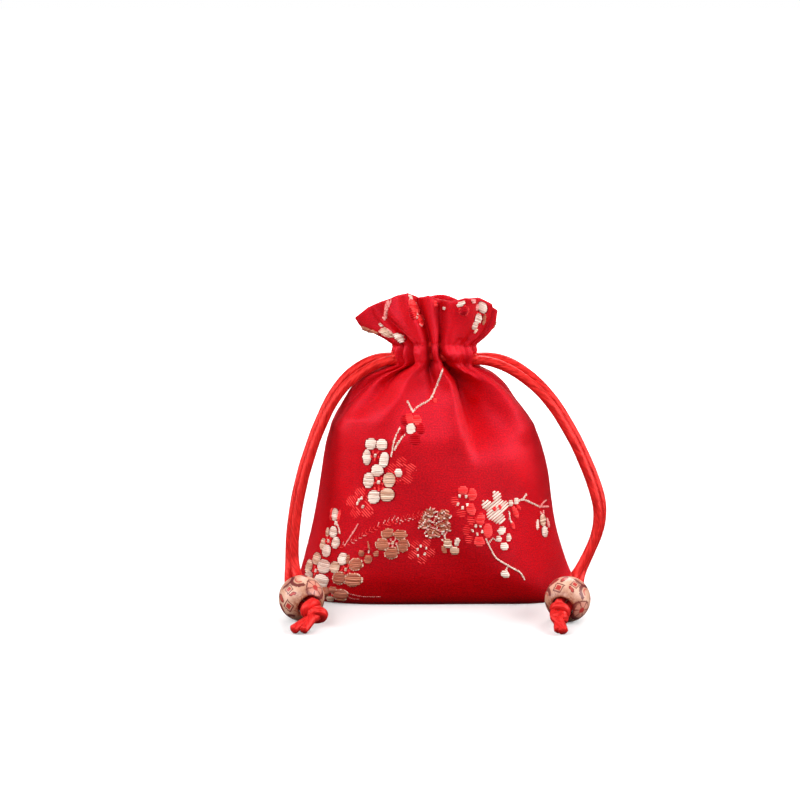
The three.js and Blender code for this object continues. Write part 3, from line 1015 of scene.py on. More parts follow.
FOLDS: tuple[Fold, ...] = (
    # Deep valley from the ruffle down the right of the front, steeper on its left
    Fold(((36, 26, 7, 12, 0), (40, 26, 7, 15, 0.7), (43, 26, 6.8, 17, 2.0), (46, 26, 6.6, 19, 4.2),
          (50, 27, 6.5, 19, 7.4), (54, 28, 6.5, 18, 9.8), (57.5, 28.5, 6.6, 17, 10.4),
          (60.5, 27.4, 6.6, 15, 9.4), (62.8, 24.6, 6.2, 12, 7.6), (64.5, 21, 5.6, 9, 5.8),
          (66.5, 15, 5, 7, 4.2), (69, 7.5, 3.5, 4.5, 3.6), (75, 8, 4, 5, 3.8), (85, 8.5, 5, 6, 3.8)), 2.0),
    # Full shoulder to its right
    Fold(((44, 60, 12, 14, 0), (50, 60, 12, 14, -1.4), (56, 60, 11, 13, -2.4), (60, 57, 10, 12, -1.8),
          (64, 52, 8, 10, 0))),
    # Full shoulder on the left
    Fold(((43, -52, 18, 16, 0), (48, -52, 18, 16, -0.8), (53, -50, 17, 15, -1.9), (56.5, -47, 14, 13, -1.9),
          (59, -44, 11, 11, -0.9), (61.5, -42, 9, 9, 0))),
    # Ruffle's right panel, which flares, and its left panel, which leans back
    Fold(((73, 30, 12, 20, 0), (77, 30, 13, 20, -1.0), (81, 30, 14, 20, -2.4), (85, 30, 14, 20, -3.8))),
    Fold(((73, -28, 12, 9, 0), (78, -29, 13, 9, 0.9), (85, -30, 14, 9, 2.6))),
    # Ridge of the middle pleat
    Fold(((43, 15, 8, 5, 0), (48, 15.5, 7, 4, -1.0), (54.9, 15.5, 6, 3.5, -1.5), (59.4, 16, 5, 3.2, -1.8),
          (62.7, 14, 4.5, 3.2, -1.8), (65.5, 7.5, 4, 3.5, -1.3), (69, 0, 4, 4, -0.6), (75, -1, 5, 5, -0.4),
          (85, -1, 6, 6, -0.5))),
    # Crevice left of the middle pleat
    Fold(((56, 2, 5, 5, 0), (59, 1.5, 4, 4, 1.4), (62, 1, 4, 4, 3.0), (66, -5.4, 3.8, 3.5, 3.8),
          (69, -8.5, 3.5, 3.5, 3.6), (75, -9, 4, 4, 3.6), (85, -10, 6, 4.5, 3.8))),
    # Broad ridge that spreads to the left
    Fold(((48, -34, 11, 11, 0), (54.5, -27, 9, 9, -1.5), (58.5, -21, 7, 7, -1.8), (64, -18, 6, 6, -1.5),
          (69, -19, 5, 5, -0.8), (75, -18, 6, 5, -0.5), (85, -18, 7, 5, -0.8))),
    # First valley that runs out to the left shoulder
    Fold(((52, -52, 12, 11, 0), (56, -45, 9, 8, 2.2), (59, -40, 7.5, 7, 3.6), (63.8, -37, 6, 6, 4.2),
          (67.5, -38, 5, 5, 3.6), (72, -40, 5.5, 5, 3.0), (76, -43, 6, 5, 2.6), (80, -46, 7, 5, 2.2),
          (85, -48, 8, 5, 1.7))),
    # Left wing of the ruffle
    Fold(((74, -86, 14, 14, 0), (79, -86, 14, 14, -1.0), (85, -84, 15, 15, -1.6))),
    # Second valley that runs out to the left shoulder
    Fold(((49, -76, 12, 12, 0), (57, -68, 9, 9, 2.2), (63, -61, 7, 7, 3.2), (69, -58, 5, 5, 3.0),
          (76, -60, 6, 6, 1.8), (85, -62, 8, 8, 1.2))),
    # Small pleats of the right shoulder
    Fold(((56, 56, 10, 10, 0), (63, 48, 8, 8, 1.3), (68, 44, 6, 6, 1.2), (76, 46, 6, 6, 1.0),
          (85, 44, 8, 8, 1.8))),
    Fold(((54, 82, 10, 10, 0), (62, 76, 8, 8, 1.8), (69, 74, 6, 6, 2.2), (85, 72, 8, 8, 1.8))),
    # Back
    Fold(((45, 222, 14, 14, 0), (56, 218, 9, 9, 3.2), (64, 216, 6, 6, 3.4), (69, 214, 5, 5, 3.0),
          (77, 213, 7, 5, 3.2), (85, 214, 11, 6, 3.6))),
    Fold(((50, 184, 10, 10, 0), (60, 182, 7, 7, 2.8), (69, 181, 5, 5, 3.2), (77, 182, 6, 7, 2.6),
          (85, 185, 7, 9, 2.0))),
    Fold(((43, 140, 15, 15, 0), (55, 144, 10, 10, 3.4), (64, 147, 6, 6, 3.6), (69, 148, 5, 5, 3.0),
          (77, 146, 6, 6, 3.4), (85, 143, 9, 7, 3.8))),
    Fold(((54, 108, 10, 10, 0), (62, 112, 7, 7, 2.4), (69, 114, 5, 5, 2.6), (85, 109, 11, 8, 1.2))),
    Fold(((52, 256, 10, 10, 0), (61, 250, 7, 7, 2.4), (69, 247, 5, 5, 2.6), (85, 249, 7, 12, 2.6))),
    Fold(((58, 164, 6, 6, 0), (64, 165, 5, 5, 1.8), (69, 165, 4, 4, 2.2), (77, 165, 4, 4, 1.2),
          (85, 168, 5, 5, 0.5))),
    Fold(((58, 199, 6, 6, 0), (64, 198, 5, 5, 1.8), (69, 198, 4, 4, 2.2), (77, 199, 4, 4, 2.0),
          (85, 200, 5, 4, 2.2))),
    # Puckers at the casing's stitches
    *Gathers(STITCH_LEVELS[0], 36, SEED).folds(),
    *Gathers(STITCH_LEVELS[1], 33, SEED + 1).folds(),
)

# Bearing and drop of the ruffle's edge
RIM: Table = (
    (-180, 0.2), (-160, 0.9), (-146, -0.2), (-120, 0.6), (-90, 1.4), (-65, -0.4), (-35, 0.4), (-18, 0),
    (-9.7, 2.3), (-1, 1.0), (8.5, 2.8), (18, 1.8), (28, -0.2), (45, -1.2), (70, -1.3), (90, -0.7), (120, 0.1),
    (150, 0.7), (168, -0.4), (180, 0.2))

# Bearing and level of the casing's two mouths
CASING_MOUTHS: Table = ((-90.0, 67.6), (90.0, 67.4))

# Level and thickness of the gathered cloth
INSET: Table = (
    (0, 1.2), (60, 1.2), (63, 1.3), (65.2, 3.0), (66.6, 5.2), (71.2, 5.0), (72.8, 3.0), (75, 1.3), (77, 0.9),
    (85, 0.9))


@dataclass
class PouchShape:
    """The cloth's outer face, as places for a bearing and a level.

    Bearing 0 faces the camera and grows to its right, in degrees.
    The level is the height in millimetres before the edge drops.
    """

    pinch: float = 0.32
    pinch_reach: float = 0.55
    pinch_mean: float = 0.62
    pinch_swing: float = 0.38
    pinch_waves: Table = ((5.0, 0.7), (3.0, -1.1))
    tube_swell: float = 0.15
    tube_reach: float = 1.9
    panel_swell: float = 0.5
    panel_bearing: float = 34.0
    panel_angle: float = 26.0
    seam_depth: float = 0.35
    seam_reach: float = 0.45
    seam_pucker: float = 0.3
    seam_rate: float = 1.9
    ripple: float = 0.064
    ripple_count: int = 10
    ripple_turns: tuple[int, int] = (2, 9)
    ripple_rise: Span = (0.05, 0.22)
    ripple_phase: Span = (0.0, 6.28)
    mouth_depth: float = 1.7
    mouth_reach: float = 1.7
    mouth_angle: float = 16.0
    rim_from: float = 76.0
    rim_reach: float = 9.0
    bearing_step: float = 0.4
    level_step: float = 0.2
    dense: np.ndarray = field(init=False)
    waves: np.ndarray = field(init=False)

    def __post_init__(self) -> None:
        """Prepares the sections and the fine ripples."""
        self.dense = catmull_rom(np.array(SECTIONS), 40)
        chance = np.random.default_rng(SEED)
        count = self.ripple_count
        self.waves = np.stack([
            chance.integers(*self.ripple_turns, count), chance.uniform(*self.ripple_rise, count),
            chance.uniform(*self.ripple_phase, count)], axis=1)

    def section(self, level: np.ndarray) -> list[np.ndarray]:
        """Columns of the section at each level."""
        return columns_at(level, self.dense)

    def push(self, bearing: np.ndarray, level: np.ndarray) -> np.ndarray:
        """How far folds, sewn lines and ripples push the cloth inwards.

        Args:
            bearing: Bearing of each place.
            level: Level of each place.

        Returns:
            The depth in millimetres.
        """
        turn = np.radians(bearing)
        depth = sum(fold.depth(bearing, level) for fold in FOLDS)
        first, second = (np.sin(rate * turn + phase) for rate, phase in self.pinch_waves)
        uneven = self.pinch_mean + self.pinch_swing * first * second
        for sewn in STITCH_LEVELS:
            depth = depth + self.pinch * uneven * np.exp(-((level - sewn) / self.pinch_reach) ** 2)
        middle = sum(STITCH_LEVELS) / 2
        beside = off_bearing(bearing, self.panel_bearing)
        swell = self.tube_swell + self.panel_swell * np.exp(-(beside / self.panel_angle) ** 4)
        depth = depth - swell * np.exp(-((level - middle) / self.tube_reach) ** 2)
        _, deep, _, fullness, corner, *_ = self.section(level)
        off_seam = deep * np.maximum(1.0 - np.abs(np.sin(turn)) ** fullness, 0.0) ** corner
        pucker = 1.0 + self.seam_pucker * np.sin(self.seam_rate * level)
        depth = depth + self.seam_depth * pucker * np.exp(-(off_seam / self.seam_reach) ** 2)
        for mouth, at_level in CASING_MOUTHS:
            off = off_bearing(bearing, mouth)
            hollow = np.exp(-(off / self.mouth_angle) ** 4 - ((level - at_level) / self.mouth_reach) ** 4)
            depth = depth + self.mouth_depth * hollow
        for around, up, phase in self.waves:
            depth = depth + self.ripple * np.sin(around * turn + up * level + phase)
        return depth

    def bearing_of(self, x: np.ndarray, level: np.ndarray) -> np.ndarray:
        """Bearing on the front of a place that lies x to the camera's right."""
        wide, _, shift, *_ = self.section(level)
        return np.degrees(np.arcsin(np.clip((x - shift) / wide, -0.999, 0.999)))

    def point(self, bearing: np.ndarray, level: np.ndarray, inset: np.ndarray | float = 0.0) -> np.ndarray:
        """Places on the cloth.

        Args:
            bearing: Bearing of each place in degrees.
            level: Level of each place.
            inset: Distance inside the outer face.

        Returns:
            The places in millimetres.
        """
        turn = np.radians(bearing)
        across, back = np.sin(turn), -np.cos(turn)
        wide, deep, shift, fullness, corner, side_drop, back_drop = self.section(level)
        x = wide * across
        y = np.sign(back) * deep * np.maximum(1.0 - np.abs(across) ** fullness, 0.0) ** corner
        out_x, out_y = x / wide**2, y / deep**2
        size = np.maximum(np.hypot(out_x, out_y), TINY)
        depth = self.push(bearing, level) + inset
        drop = columns_at(off_bearing(np.asarray(bearing), 0.0), np.array(RIM, dtype=float))[0]
        drop = drop * smooth(np.clip((level - self.rim_from) / self.rim_reach, 0.0, 1.0))
        z = level - side_drop * across**2 - back_drop * (1.0 + back) / 2.0 - drop
        return np.stack([x - depth * out_x / size + shift, y - depth * out_y / size, z], axis=-1)

    def frame(self, bearing: np.ndarray, level: np.ndarray) -> tuple[np.ndarray, np.ndarray, np.ndarray]:
        """Places on the cloth with the direction straight out of it.

        Args:
            bearing: Bearing of each place.
            level: Level of each place.

        Returns:
            The places, the outward directions, and millimetres for one degree and one step of level.
        """
        here = self.point(bearing, level)
        step, rise = self.bearing_step, self.level_step
        aside = (self.point(bearing + step, level) - self.point(bearing - step, level)) / (2 * step)
        upward = (self.point(bearing, level + rise) - self.point(bearing, level - rise)) / (2 * rise)
        out = np.cross(aside, upward)
        out /= np.maximum(np.linalg.norm(out, axis=-1), TINY)[..., None]
        return here, out, np.stack([np.linalg.norm(aside, axis=-1), np.linalg.norm(upward, axis=-1)], axis=-1)


@dataclass
class PouchCloth:
    """The pouch itself: a hollow bag of satin with a sewn casing and a ruffle."""

    shape: PouchShape
    columns: int = 400
    rows: int = 176
    inner_rows: int = 40
    hem: float = 0.45
    hem_curve: float = 0.13
    floor_level: float = 1.4
    flat_width: float = 160.0
    flat_length: float = 100.0
    level_steps: int = 2000
    neck_crowd: Point = (2.2, 68.8, 5.0)
    foot_crowd: Span = (2.0, 2.5)
    stitch_length: float = 1.5
    stitch_gap: float = 0.9
    stitch_radius: float = 0.15
    stitch_raised: float = 0.35
    stitch_hidden: float = 1.5
    stitch_points: int = 7
    stitch_sides: int = 6
    bearing_step: float = 0.25

    def build(self) -> Piece:
        """Makes the cloth as one closed mesh, with the rim's hem rounded.

        Returns:
            The cloth.
        """
        top = SECTIONS[-1][0]
        outer = self.levels(top - self.hem, self.rows)
        inner = self.levels(top - self.hem, self.inner_rows)[::-1]
        inner = inner[inner > self.floor_level]
        rim_inset = [self.hem_curve, self.hem, 2 * self.hem - self.hem_curve]
        level = np.concatenate([outer, [top - self.hem_curve, top, top - self.hem_curve], inner])
        walls = columns_at(inner, np.array(INSET, dtype=float))[0]
        inset = np.concatenate([np.zeros(len(outer)), rim_inset, walls])
        bearing = np.arange(self.columns) * 360.0 / self.columns - 180.0
        points = self.shape.point(bearing[None, :], level[:, None], inset[:, None])
        faces = closed_faces(len(level), self.columns)
        cloth = new_piece("pouch_cloth", points.reshape(-1, 3) * MM, faces)
        run = np.linalg.norm(np.diff(points, axis=0), axis=2).mean(axis=1)
        along = np.repeat(np.concatenate([[0.0], np.cumsum(run)]), self.columns)
        around = np.tile((bearing + 180.0) / 360.0 * self.flat_width, len(level))
        set_uv(cloth, around, along, turn=self.flat_width)
        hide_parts("pouch_shell")
        return cloth

    def levels(self, top: float, count: int) -> np.ndarray:
        """Levels of the mesh's rows, closer together at the bottom edge and in the neck.

        Args:
            top: The highest level.
            count: Number of rows.

        Returns:
            The levels, from the bottom up.
        """
        fine = np.linspace(0.0, top, self.level_steps)
        neck, neck_level, neck_reach = self.neck_crowd
        foot, foot_reach = self.foot_crowd
        crowd = 1.0 + neck * np.exp(-((fine - neck_level) / neck_reach) ** 2)
        run = np.cumsum(crowd + foot * np.exp(-((fine / foot_reach) ** 2)))
        run = (run - run[0]) / (run[-1] - run[0])
        return np.interp(np.linspace(0.0, 1.0, count), run, fine)

    def stitches(self) -> Piece:
        """Two rows of small stitches that close the casing.

        Returns:
            The stitches.
        """
        tubes = []
        bearing = np.arange(0.0, 360.0, self.bearing_step)
        for sewn in STITCH_LEVELS:
            level = np.full_like(bearing, sewn)
            here, out, _ = self.shape.frame(bearing, level)
            raised = here + out * (self.stitch_radius * self.stitch_raised)
            run = run_along(raised)
            hidden = self.shape.push(bearing, level) > self.stitch_hidden
            for start in np.arange(0.0, run[-1] - self.stitch_length, self.stitch_length + self.stitch_gap):
                at = np.linspace(start, start + self.stitch_length, self.stitch_points)
                if not np.interp(at, run, hidden.astype(float)).any():
                    tubes.append(Tube(points_at(raised, run, at), self.stitch_radius, self.stitch_sides))
        return tube_piece("casing_stitches", tubes)

    def dress(self, wardrobe: Wardrobe, cloth: Piece, stitches: Piece) -> None:
        """Gives the cloth and its stitches their finishes."""
        cloth.data.materials.append(wardrobe.satin)
        stitches.data.materials.append(wardrobe.satin)


# The raised pattern

CURVE_STEPS = 12
CROSSING_STEPS = 161
# Height of a trim's spot for its length
SPOT_SHAPE = 0.6
# Loose lines: turn between two of them, their lean (swing, rate, mean) and length (mean, swing, rate)
STREWN_TURN = 2.4
LINE_LEAN: Point = (47.0, 3.7, 20.0)
LINE_LENGTH: Point = (1.6, 0.5, 2.3)
LINE_WIDTH, LINE_RAISED = 0.4, 0.3
# Spot in a blossom's heart, and length, width and first direction of the five round it
HEART_SPOT = 0.95
HEART_PETAL: Point = (0.8, 0.62, 54.0)


def rotated(x: np.ndarray | float, y: np.ndarray | float, degrees: float) -> tuple:
    """A place turned about the middle."""
    turn = math.radians(degrees)
    return x * math.cos(turn) - y * math.sin(turn), x * math.sin(turn) + y * math.cos(turn)


@dataclass(frozen=True)
class Lobe:
    """One filled shape of the woven pattern, by its place from the motif's middle, in millimetres.

    A power of 2 makes an oval, more a rounded square, and less a lozenge.
    """

    right: float
    up: float
    width: float
    height: float
    turn: float = 0.0
    thread: Thread = Thread.IVORY
    trim: Thread | None = None
    power: float = 2.4
    raised: float = 0.0

    def run(self, row: float, lay: float) -> Span | None:
        """Where a float crosses the shape.

        Args:
            row: Distance of the float from the motif's middle.
            lay: Direction of the float in degrees.

        Returns:
            The float's two ends, or None where it misses the shape.
        """
        ahead, turn = math.radians(lay), math.radians(self.turn)
        reach = math.hypot(self.width, self.height) / 2
        middle = self.right * math.cos(ahead) + self.up * math.sin(ahead)
        along = middle + np.linspace(-reach, reach, CROSSING_STEPS)
        x = along * math.cos(ahead) - row * math.sin(ahead) - self.right
        y = along * math.sin(ahead) + row * math.cos(ahead) - self.up
        across = 2 * (x * math.cos(turn) + y * math.sin(turn)) / self.width
        high = 2 * (y * math.cos(turn) - x * math.sin(turn)) / self.height
        inside = along[np.abs(across) ** self.power + np.abs(high) ** self.power <= 1.0]
        return (float(inside[0]), float(inside[-1])) if len(inside) > 1 else None

    def edge(self, gap: float, size: float) -> list["Lobe"]:
        """Small spots of the trim's thread along the shape's outline.

        Args:
            gap: Distance between two spots.
            size: Length of a spot.

        Returns:
            The spots.
        """
        count = int(math.pi * (self.width + self.height) / 2 / gap)
        made = []
        for angle in np.arange(count) * 2 * math.pi / count:
            right, up = rotated(
                self.width / 2 * math.cos(angle), self.height / 2 * math.sin(angle), self.turn)
            lean = math.degrees(angle) + self.turn + 90.0
            made.append(Lobe(self.right + right, self.up + up, size, SPOT_SHAPE * size, lean, self.trim))
        return made


@dataclass(frozen=True)
class Motif:
    """Lobes that share a middle on the pouch's front.

    The middle is given by its level and its distance to the camera's right, or by a bearing.
    """

    x: float
    level: float
    lobes: tuple[Lobe, ...]
    fill: Fill = Fill.SOLID
    lay: float = 0.0
    bearing: float | None = None

    def motifs(self) -> list["Motif"]:
        """The motif itself, as the only one of its kind."""
        return [self]

    def crossings(self, row: float) -> list[Span]:
        """Where a float crosses the motif's lobes, taken together.

        Args:
            row: Distance of the float from the middle.

        Returns:
            Start and end of each stretch.
        """
        joined: list[Span] = []
        for start, end in sorted(filter(None, (lobe.run(row, self.lay) for lobe in self.lobes))):
            if joined and start <= joined[-1][1]:
                joined[-1] = (joined[-1][0], max(end, joined[-1][1]))
            else:
                joined.append((start, end))
        return joined


@dataclass(frozen=True)
class Branch:
    """A twig of short slanted floats along a line of places."""

    places: Table
    thread: Thread = Thread.IVORY
    width: float = 0.66
    slant: float = 25.0
    gap: float = 0.55
    oval: Span = (1.1, 0.72)

    def motifs(self) -> list[Motif]:
        """The twig's ovals, each on its own place.

        Returns:
            One motif for each oval.
        """
        line = spaced(catmull_rom(np.array(self.places), CURVE_STEPS), self.gap)
        ahead = np.gradient(line, axis=0)
        lean = np.degrees(np.arctan2(ahead[:, 1], ahead[:, 0])) + self.slant
        length, height = (share * self.width for share in self.oval)
        return [
            Motif(x, level, (Lobe(0.0, 0.0, length, height, turn, self.thread),))
            for (x, level), turn in zip(line, lean)]


@dataclass(frozen=True)
class Fern:
    """A faint frond: a thin stalk with short slanted leaves on both sides."""

    places: Table
    thread: Thread = Thread.ROSE
    leaf: float = 1.05
    gap: float = 1.2
    lean: float = 38.0
    lean_sway: float = 9.0
    leaf_sway: float = 0.25
    leaf_width: float = 0.24
    leaf_reach: float = 0.6
    pale_from: float = 0.2
    stalk_width: float = 0.3
    stalk_gap: float = 0.8
    rates: Point = (7.3, 4.1, 5.7)

    def motifs(self) -> list[Motif]:
        """The frond's ovals, each on its own place.

        Returns:
            One motif for each oval.
        """
        line = spaced(catmull_rom(np.array(self.places), CURVE_STEPS), self.gap)
        ahead = np.gradient(line, axis=0)
        made = Branch(self.places, Thread.CORAL, self.stalk_width, 0.0, self.stalk_gap).motifs()
        lean_rate, leaf_rate, thread_rate = self.rates
        for number, ((x, level), (right, up)) in enumerate(zip(line, ahead)):
            for side in (1.0, -1.0):
                sway = self.lean_sway * math.sin(lean_rate * number + side)
                turn = math.atan2(up, right) + side * math.radians(self.lean + sway)
                length = self.leaf * (1.0 + self.leaf_sway * math.sin(leaf_rate * number - side))
                reach = length * self.leaf_reach
                pale = math.sin(thread_rate * number + 2.0 * side) > self.pale_from
                made.append(Motif(x, level, (Lobe(
                    reach * math.cos(turn), reach * math.sin(turn), length, self.leaf_width,
                    math.degrees(turn), self.thread if pale else Thread.CORAL),)))
        return made


def spots(thread: Thread, size: float, *places: Span) -> tuple[Lobe, ...]:
    """Round spots of one thread at places from a motif's middle."""
    return tuple(Lobe(right, up, size, size, 0.0, thread) for right, up in places)


def petals(threads: tuple[Thread, ...], reach: float, length: float, width: float,
           turn: float) -> tuple[Lobe, ...]:
    """Petals evenly round a motif's middle.

    Args:
        threads: Thread of each petal.
        reach: Distance of the petals from the middle.
        length: Length of a petal.
        width: Width of a petal.
        turn: Direction of the first petal in degrees.

    Returns:
        The petals.
    """
    made = []
    for number, thread in enumerate(threads):
        angle = turn + number * 360.0 / len(threads)
        right, up = reach * math.cos(math.radians(angle)), reach * math.sin(math.radians(angle))
        made.append(Lobe(right, up, length, width, angle, thread))
    return tuple(made)


def scribble(thread: Thread, count: int, reach: float, start: float) -> tuple[Lobe, ...]:
    """Short loose lines strewn over a motif.

    Args:
        thread: The lines' thread.
        count: Number of lines.
        reach: Distance of the last line from the motif's middle.
        start: Angle that the strewing starts from.

    Returns:
        The lines.
    """
    made = []
    for number in range(count):
        angle = start + STREWN_TURN * number
        far = reach * math.sqrt((number + 0.5) / count)
        swing, rate, lean = LINE_LEAN
        lean = swing * math.sin(rate * number + start) + lean
        mean, swing, rate = LINE_LENGTH
        length = mean + swing * math.sin(rate * number)
        right, up = far * math.cos(angle), far * math.sin(angle)
        made.append(Lobe(right, up, length, LINE_WIDTH, lean, thread, raised=LINE_RAISED))
    return tuple(made)


def heart(thread: Thread, around: Thread, reach: float) -> tuple[Lobe, ...]:
    """A blossom's heart: one spot with five more round it."""
    return (*spots(thread, HEART_SPOT, (0.0, 0.0)), *petals((around,) * 5, reach, *HEART_PETAL))


IVORY, HALF_SHADED_IVORY, TAN, CORAL, GARNET, ROSE, OUTLINE_AND_SHADE = Thread

# Petals in the two darkened ivory wefts are painted shade of the ivory weft
BLOSSOMS: tuple[Motif, ...] = (
    # Two ivory blossoms, one above the other
    Motif(-16.5, 43.0, (
        Lobe(-1.6, 3.0, 3.0, 2.6), Lobe(1.5, 3.0, 2.9, 2.5), Lobe(-2.3, -0.6, 2.2, 3.7, 6),
        Lobe(2.4, -1.0, 2.3, 3.6, -8), *heart(IVORY, CORAL, 1.1))),
    Motif(-15.6, 35.8, (
        Lobe(-0.6, 3.2, 3.3, 2.8), Lobe(-2.8, 0.4, 2.9, 3.6), Lobe(2.7, 0.8, 3.1, 3.4, 0, HALF_SHADED_IVORY),
        Lobe(-1.0, -4.0, 3.0, 3.2), Lobe(2.4, -3.3, 3.4, 3.1, 0, HALF_SHADED_IVORY), *heart(IVORY, CORAL, 1.2),
        *spots(CORAL, 0.8, (-0.9, -1.8), (0.2, -2.0), (1.2, -1.6)))),
    # Ivory blossoms that turn round the left edge
    Motif(-29.1, 17.8, (
        Lobe(1.2, 2.8, 2.5, 2.7), Lobe(-0.9, 2.3, 1.5, 2.4, 0, HALF_SHADED_IVORY), Lobe(2.6, 0.0, 2.4, 2.9),
        Lobe(0.0, -2.8, 2.9, 3.0), Lobe(-1.9, -1.3, 1.9, 2.7, 0, HALF_SHADED_IVORY), *heart(IVORY, CORAL, 0.9))),
    Motif(-32.6, 8.9, (
        Lobe(-0.7, 3.4, 2.9, 3.0, 0, HALF_SHADED_IVORY), Lobe(2.3, 1.8, 4.0, 3.5), Lobe(-3.2, 0.5, 2.9, 3.3, 0, HALF_SHADED_IVORY),
        Lobe(-2.2, -1.9, 2.9, 2.2), Lobe(2.5, -2.6, 4.3, 3.6), *heart(IVORY, CORAL, 1.0))),
    # Blossoms along the foot, mostly in the darkened ivory wefts of painted shade
    Motif(-24.5, 10.9, (
        Lobe(-1.3, 2.9, 2.9, 3.1), Lobe(0.2, 3.0, 1.4, 2.6, 0, TAN), Lobe(2.6, 1.8, 3.2, 3.1, 0, TAN, HALF_SHADED_IVORY),
        Lobe(-3.3, 0.2, 2.9, 2.9, 0, HALF_SHADED_IVORY), Lobe(-1.3, -2.8, 3.4, 3.3, 0, TAN, HALF_SHADED_IVORY),
        Lobe(2.4, -2.9, 4.2, 3.5, 0, TAN, HALF_SHADED_IVORY), *heart(HALF_SHADED_IVORY, CORAL, 1.1))),
    Motif(-28.3, 2.2, (
        Lobe(2.4, 1.0, 3.8, 3.3, 0, TAN, HALF_SHADED_IVORY), Lobe(-2.2, 1.3, 3.0, 2.8, 0, TAN),
        Lobe(0.2, 2.5, 2.2, 1.8, 0, TAN),
        Lobe(-0.6, -0.8, 2.6, 1.6, 0, HALF_SHADED_IVORY), *spots(CORAL, 0.7, (0.2, 0.6), (-0.7, 0.4)))),
    Motif(-11.9, 19.3, (
        Lobe(-1.6, 2.6, 2.9, 2.3, 14, TAN, HALF_SHADED_IVORY), Lobe(1.8, 2.3, 3.2, 2.2, -8, TAN, HALF_SHADED_IVORY),
        Lobe(-2.8, -0.5, 3.2, 2.9, 0, TAN, HALF_SHADED_IVORY), Lobe(2.7, -0.8, 2.7, 3.2, 0, TAN, HALF_SHADED_IVORY),
        Lobe(-0.1, -2.9, 3.3, 2.9, 0, TAN, HALF_SHADED_IVORY), *heart(HALF_SHADED_IVORY, ROSE, 1.0))),
    Motif(-18.2, 16.1, (
        Lobe(-2.0, -0.2, 1.9, 1.7, 0, TAN), Lobe(1.9, 0.0, 1.7, 1.6, 0, TAN),
        Lobe(0.0, -1.8, 2.2, 2.0, 0, TAN),
        Lobe(-1.0, 1.0, 1.7, 1.4, 30, GARNET), Lobe(1.2, 1.0, 1.7, 1.4, -30, GARNET),
        *spots(IVORY, 0.7, (0.0, 0.4)), Lobe(-0.3, 2.2, 0.6, 2.6, 14, TAN))),
    # Blossom drawn in loose lines, partly in darkened ivory weft as painted shade
    Motif(-0.8, 24.9, (
        *scribble(TAN, 20, 4.3, 5.2), *scribble(ROSE, 14, 4.2, 1.9), *scribble(IVORY, 22, 4.4, 0.3),
        Lobe(2.2, -3.4, 1.6, 0.5, -40))),
    Motif(3.4, 18.2, (
        Lobe(-0.8, 0.9, 2.1, 2.3, 0, HALF_SHADED_IVORY), Lobe(1.7, 1.4, 1.5, 2.4, -14), Lobe(0.9, -1.2, 2.3, 2.0, 0, HALF_SHADED_IVORY),
        Lobe(-1.8, -0.9, 1.5, 2.1, 18, TAN), *spots(IVORY, 0.55, (0.3, 0.0), (-1.5, 2.6), (-2.2, 1.9)))),
    # Red blossoms with pale stamens
    Motif(6.3, 30.9, (
        Lobe(2.7, 1.8, 2.4, 2.9, -20, CORAL), Lobe(0.3, 3.0, 2.6, 2.0, 0, CORAL),
        Lobe(2.3, -2.2, 2.3, 2.8, 20, CORAL),
        *spots(IVORY, 0.85, (-0.7, 1.5), (1.0, 1.3), (-1.2, -0.7), (1.3, -1.0), (0.0, -1.7)))),
    Motif(10.1, 23.1, (
        Lobe(1.2, 2.8, 2.3, 3.0, -12, CORAL),
        Lobe(3.0, -0.5, 2.5, 3.4, 0, CORAL), Lobe(0.5, -3.5, 2.8, 2.3, 0, CORAL),
        *spots(IVORY, 0.85, (-0.2, 1.0), (1.1, 1.0), (-1.1, -0.3), (1.4, -0.6), (0.1, -1.3)))),
    Motif(-7.1, 50.2, (
        Lobe(-1.8, 2.2, 1.8, 2.5, 15, GARNET), Lobe(2.5, 0.0, 2.1, 2.5, 0, GARNET),
        Lobe(1.0, -2.8, 2.8, 2.6, 0, GARNET), Lobe(-2.2, -1.0, 1.6, 2.0, 0, GARNET),
        Lobe(-0.6, 2.6, 2.5, 2.3, 0, CORAL), Lobe(1.6, 2.2, 2.4, 2.2, -20, CORAL),
        Lobe(-0.1, 0.0, 2.3, 2.5), *spots(CORAL, 0.5, (-0.2, 0.1)))),
    # Small ivory blossom
    Motif(16.9, 20.2, (
        Lobe(0.1, 2.2, 2.3, 1.8, 30), Lobe(-0.9, 0.0, 1.65, 1.6), Lobe(1.9, 0.1, 1.6, 2.1, -10),
        Lobe(0.3, -2.3, 2.2, 1.8, 10))),
)

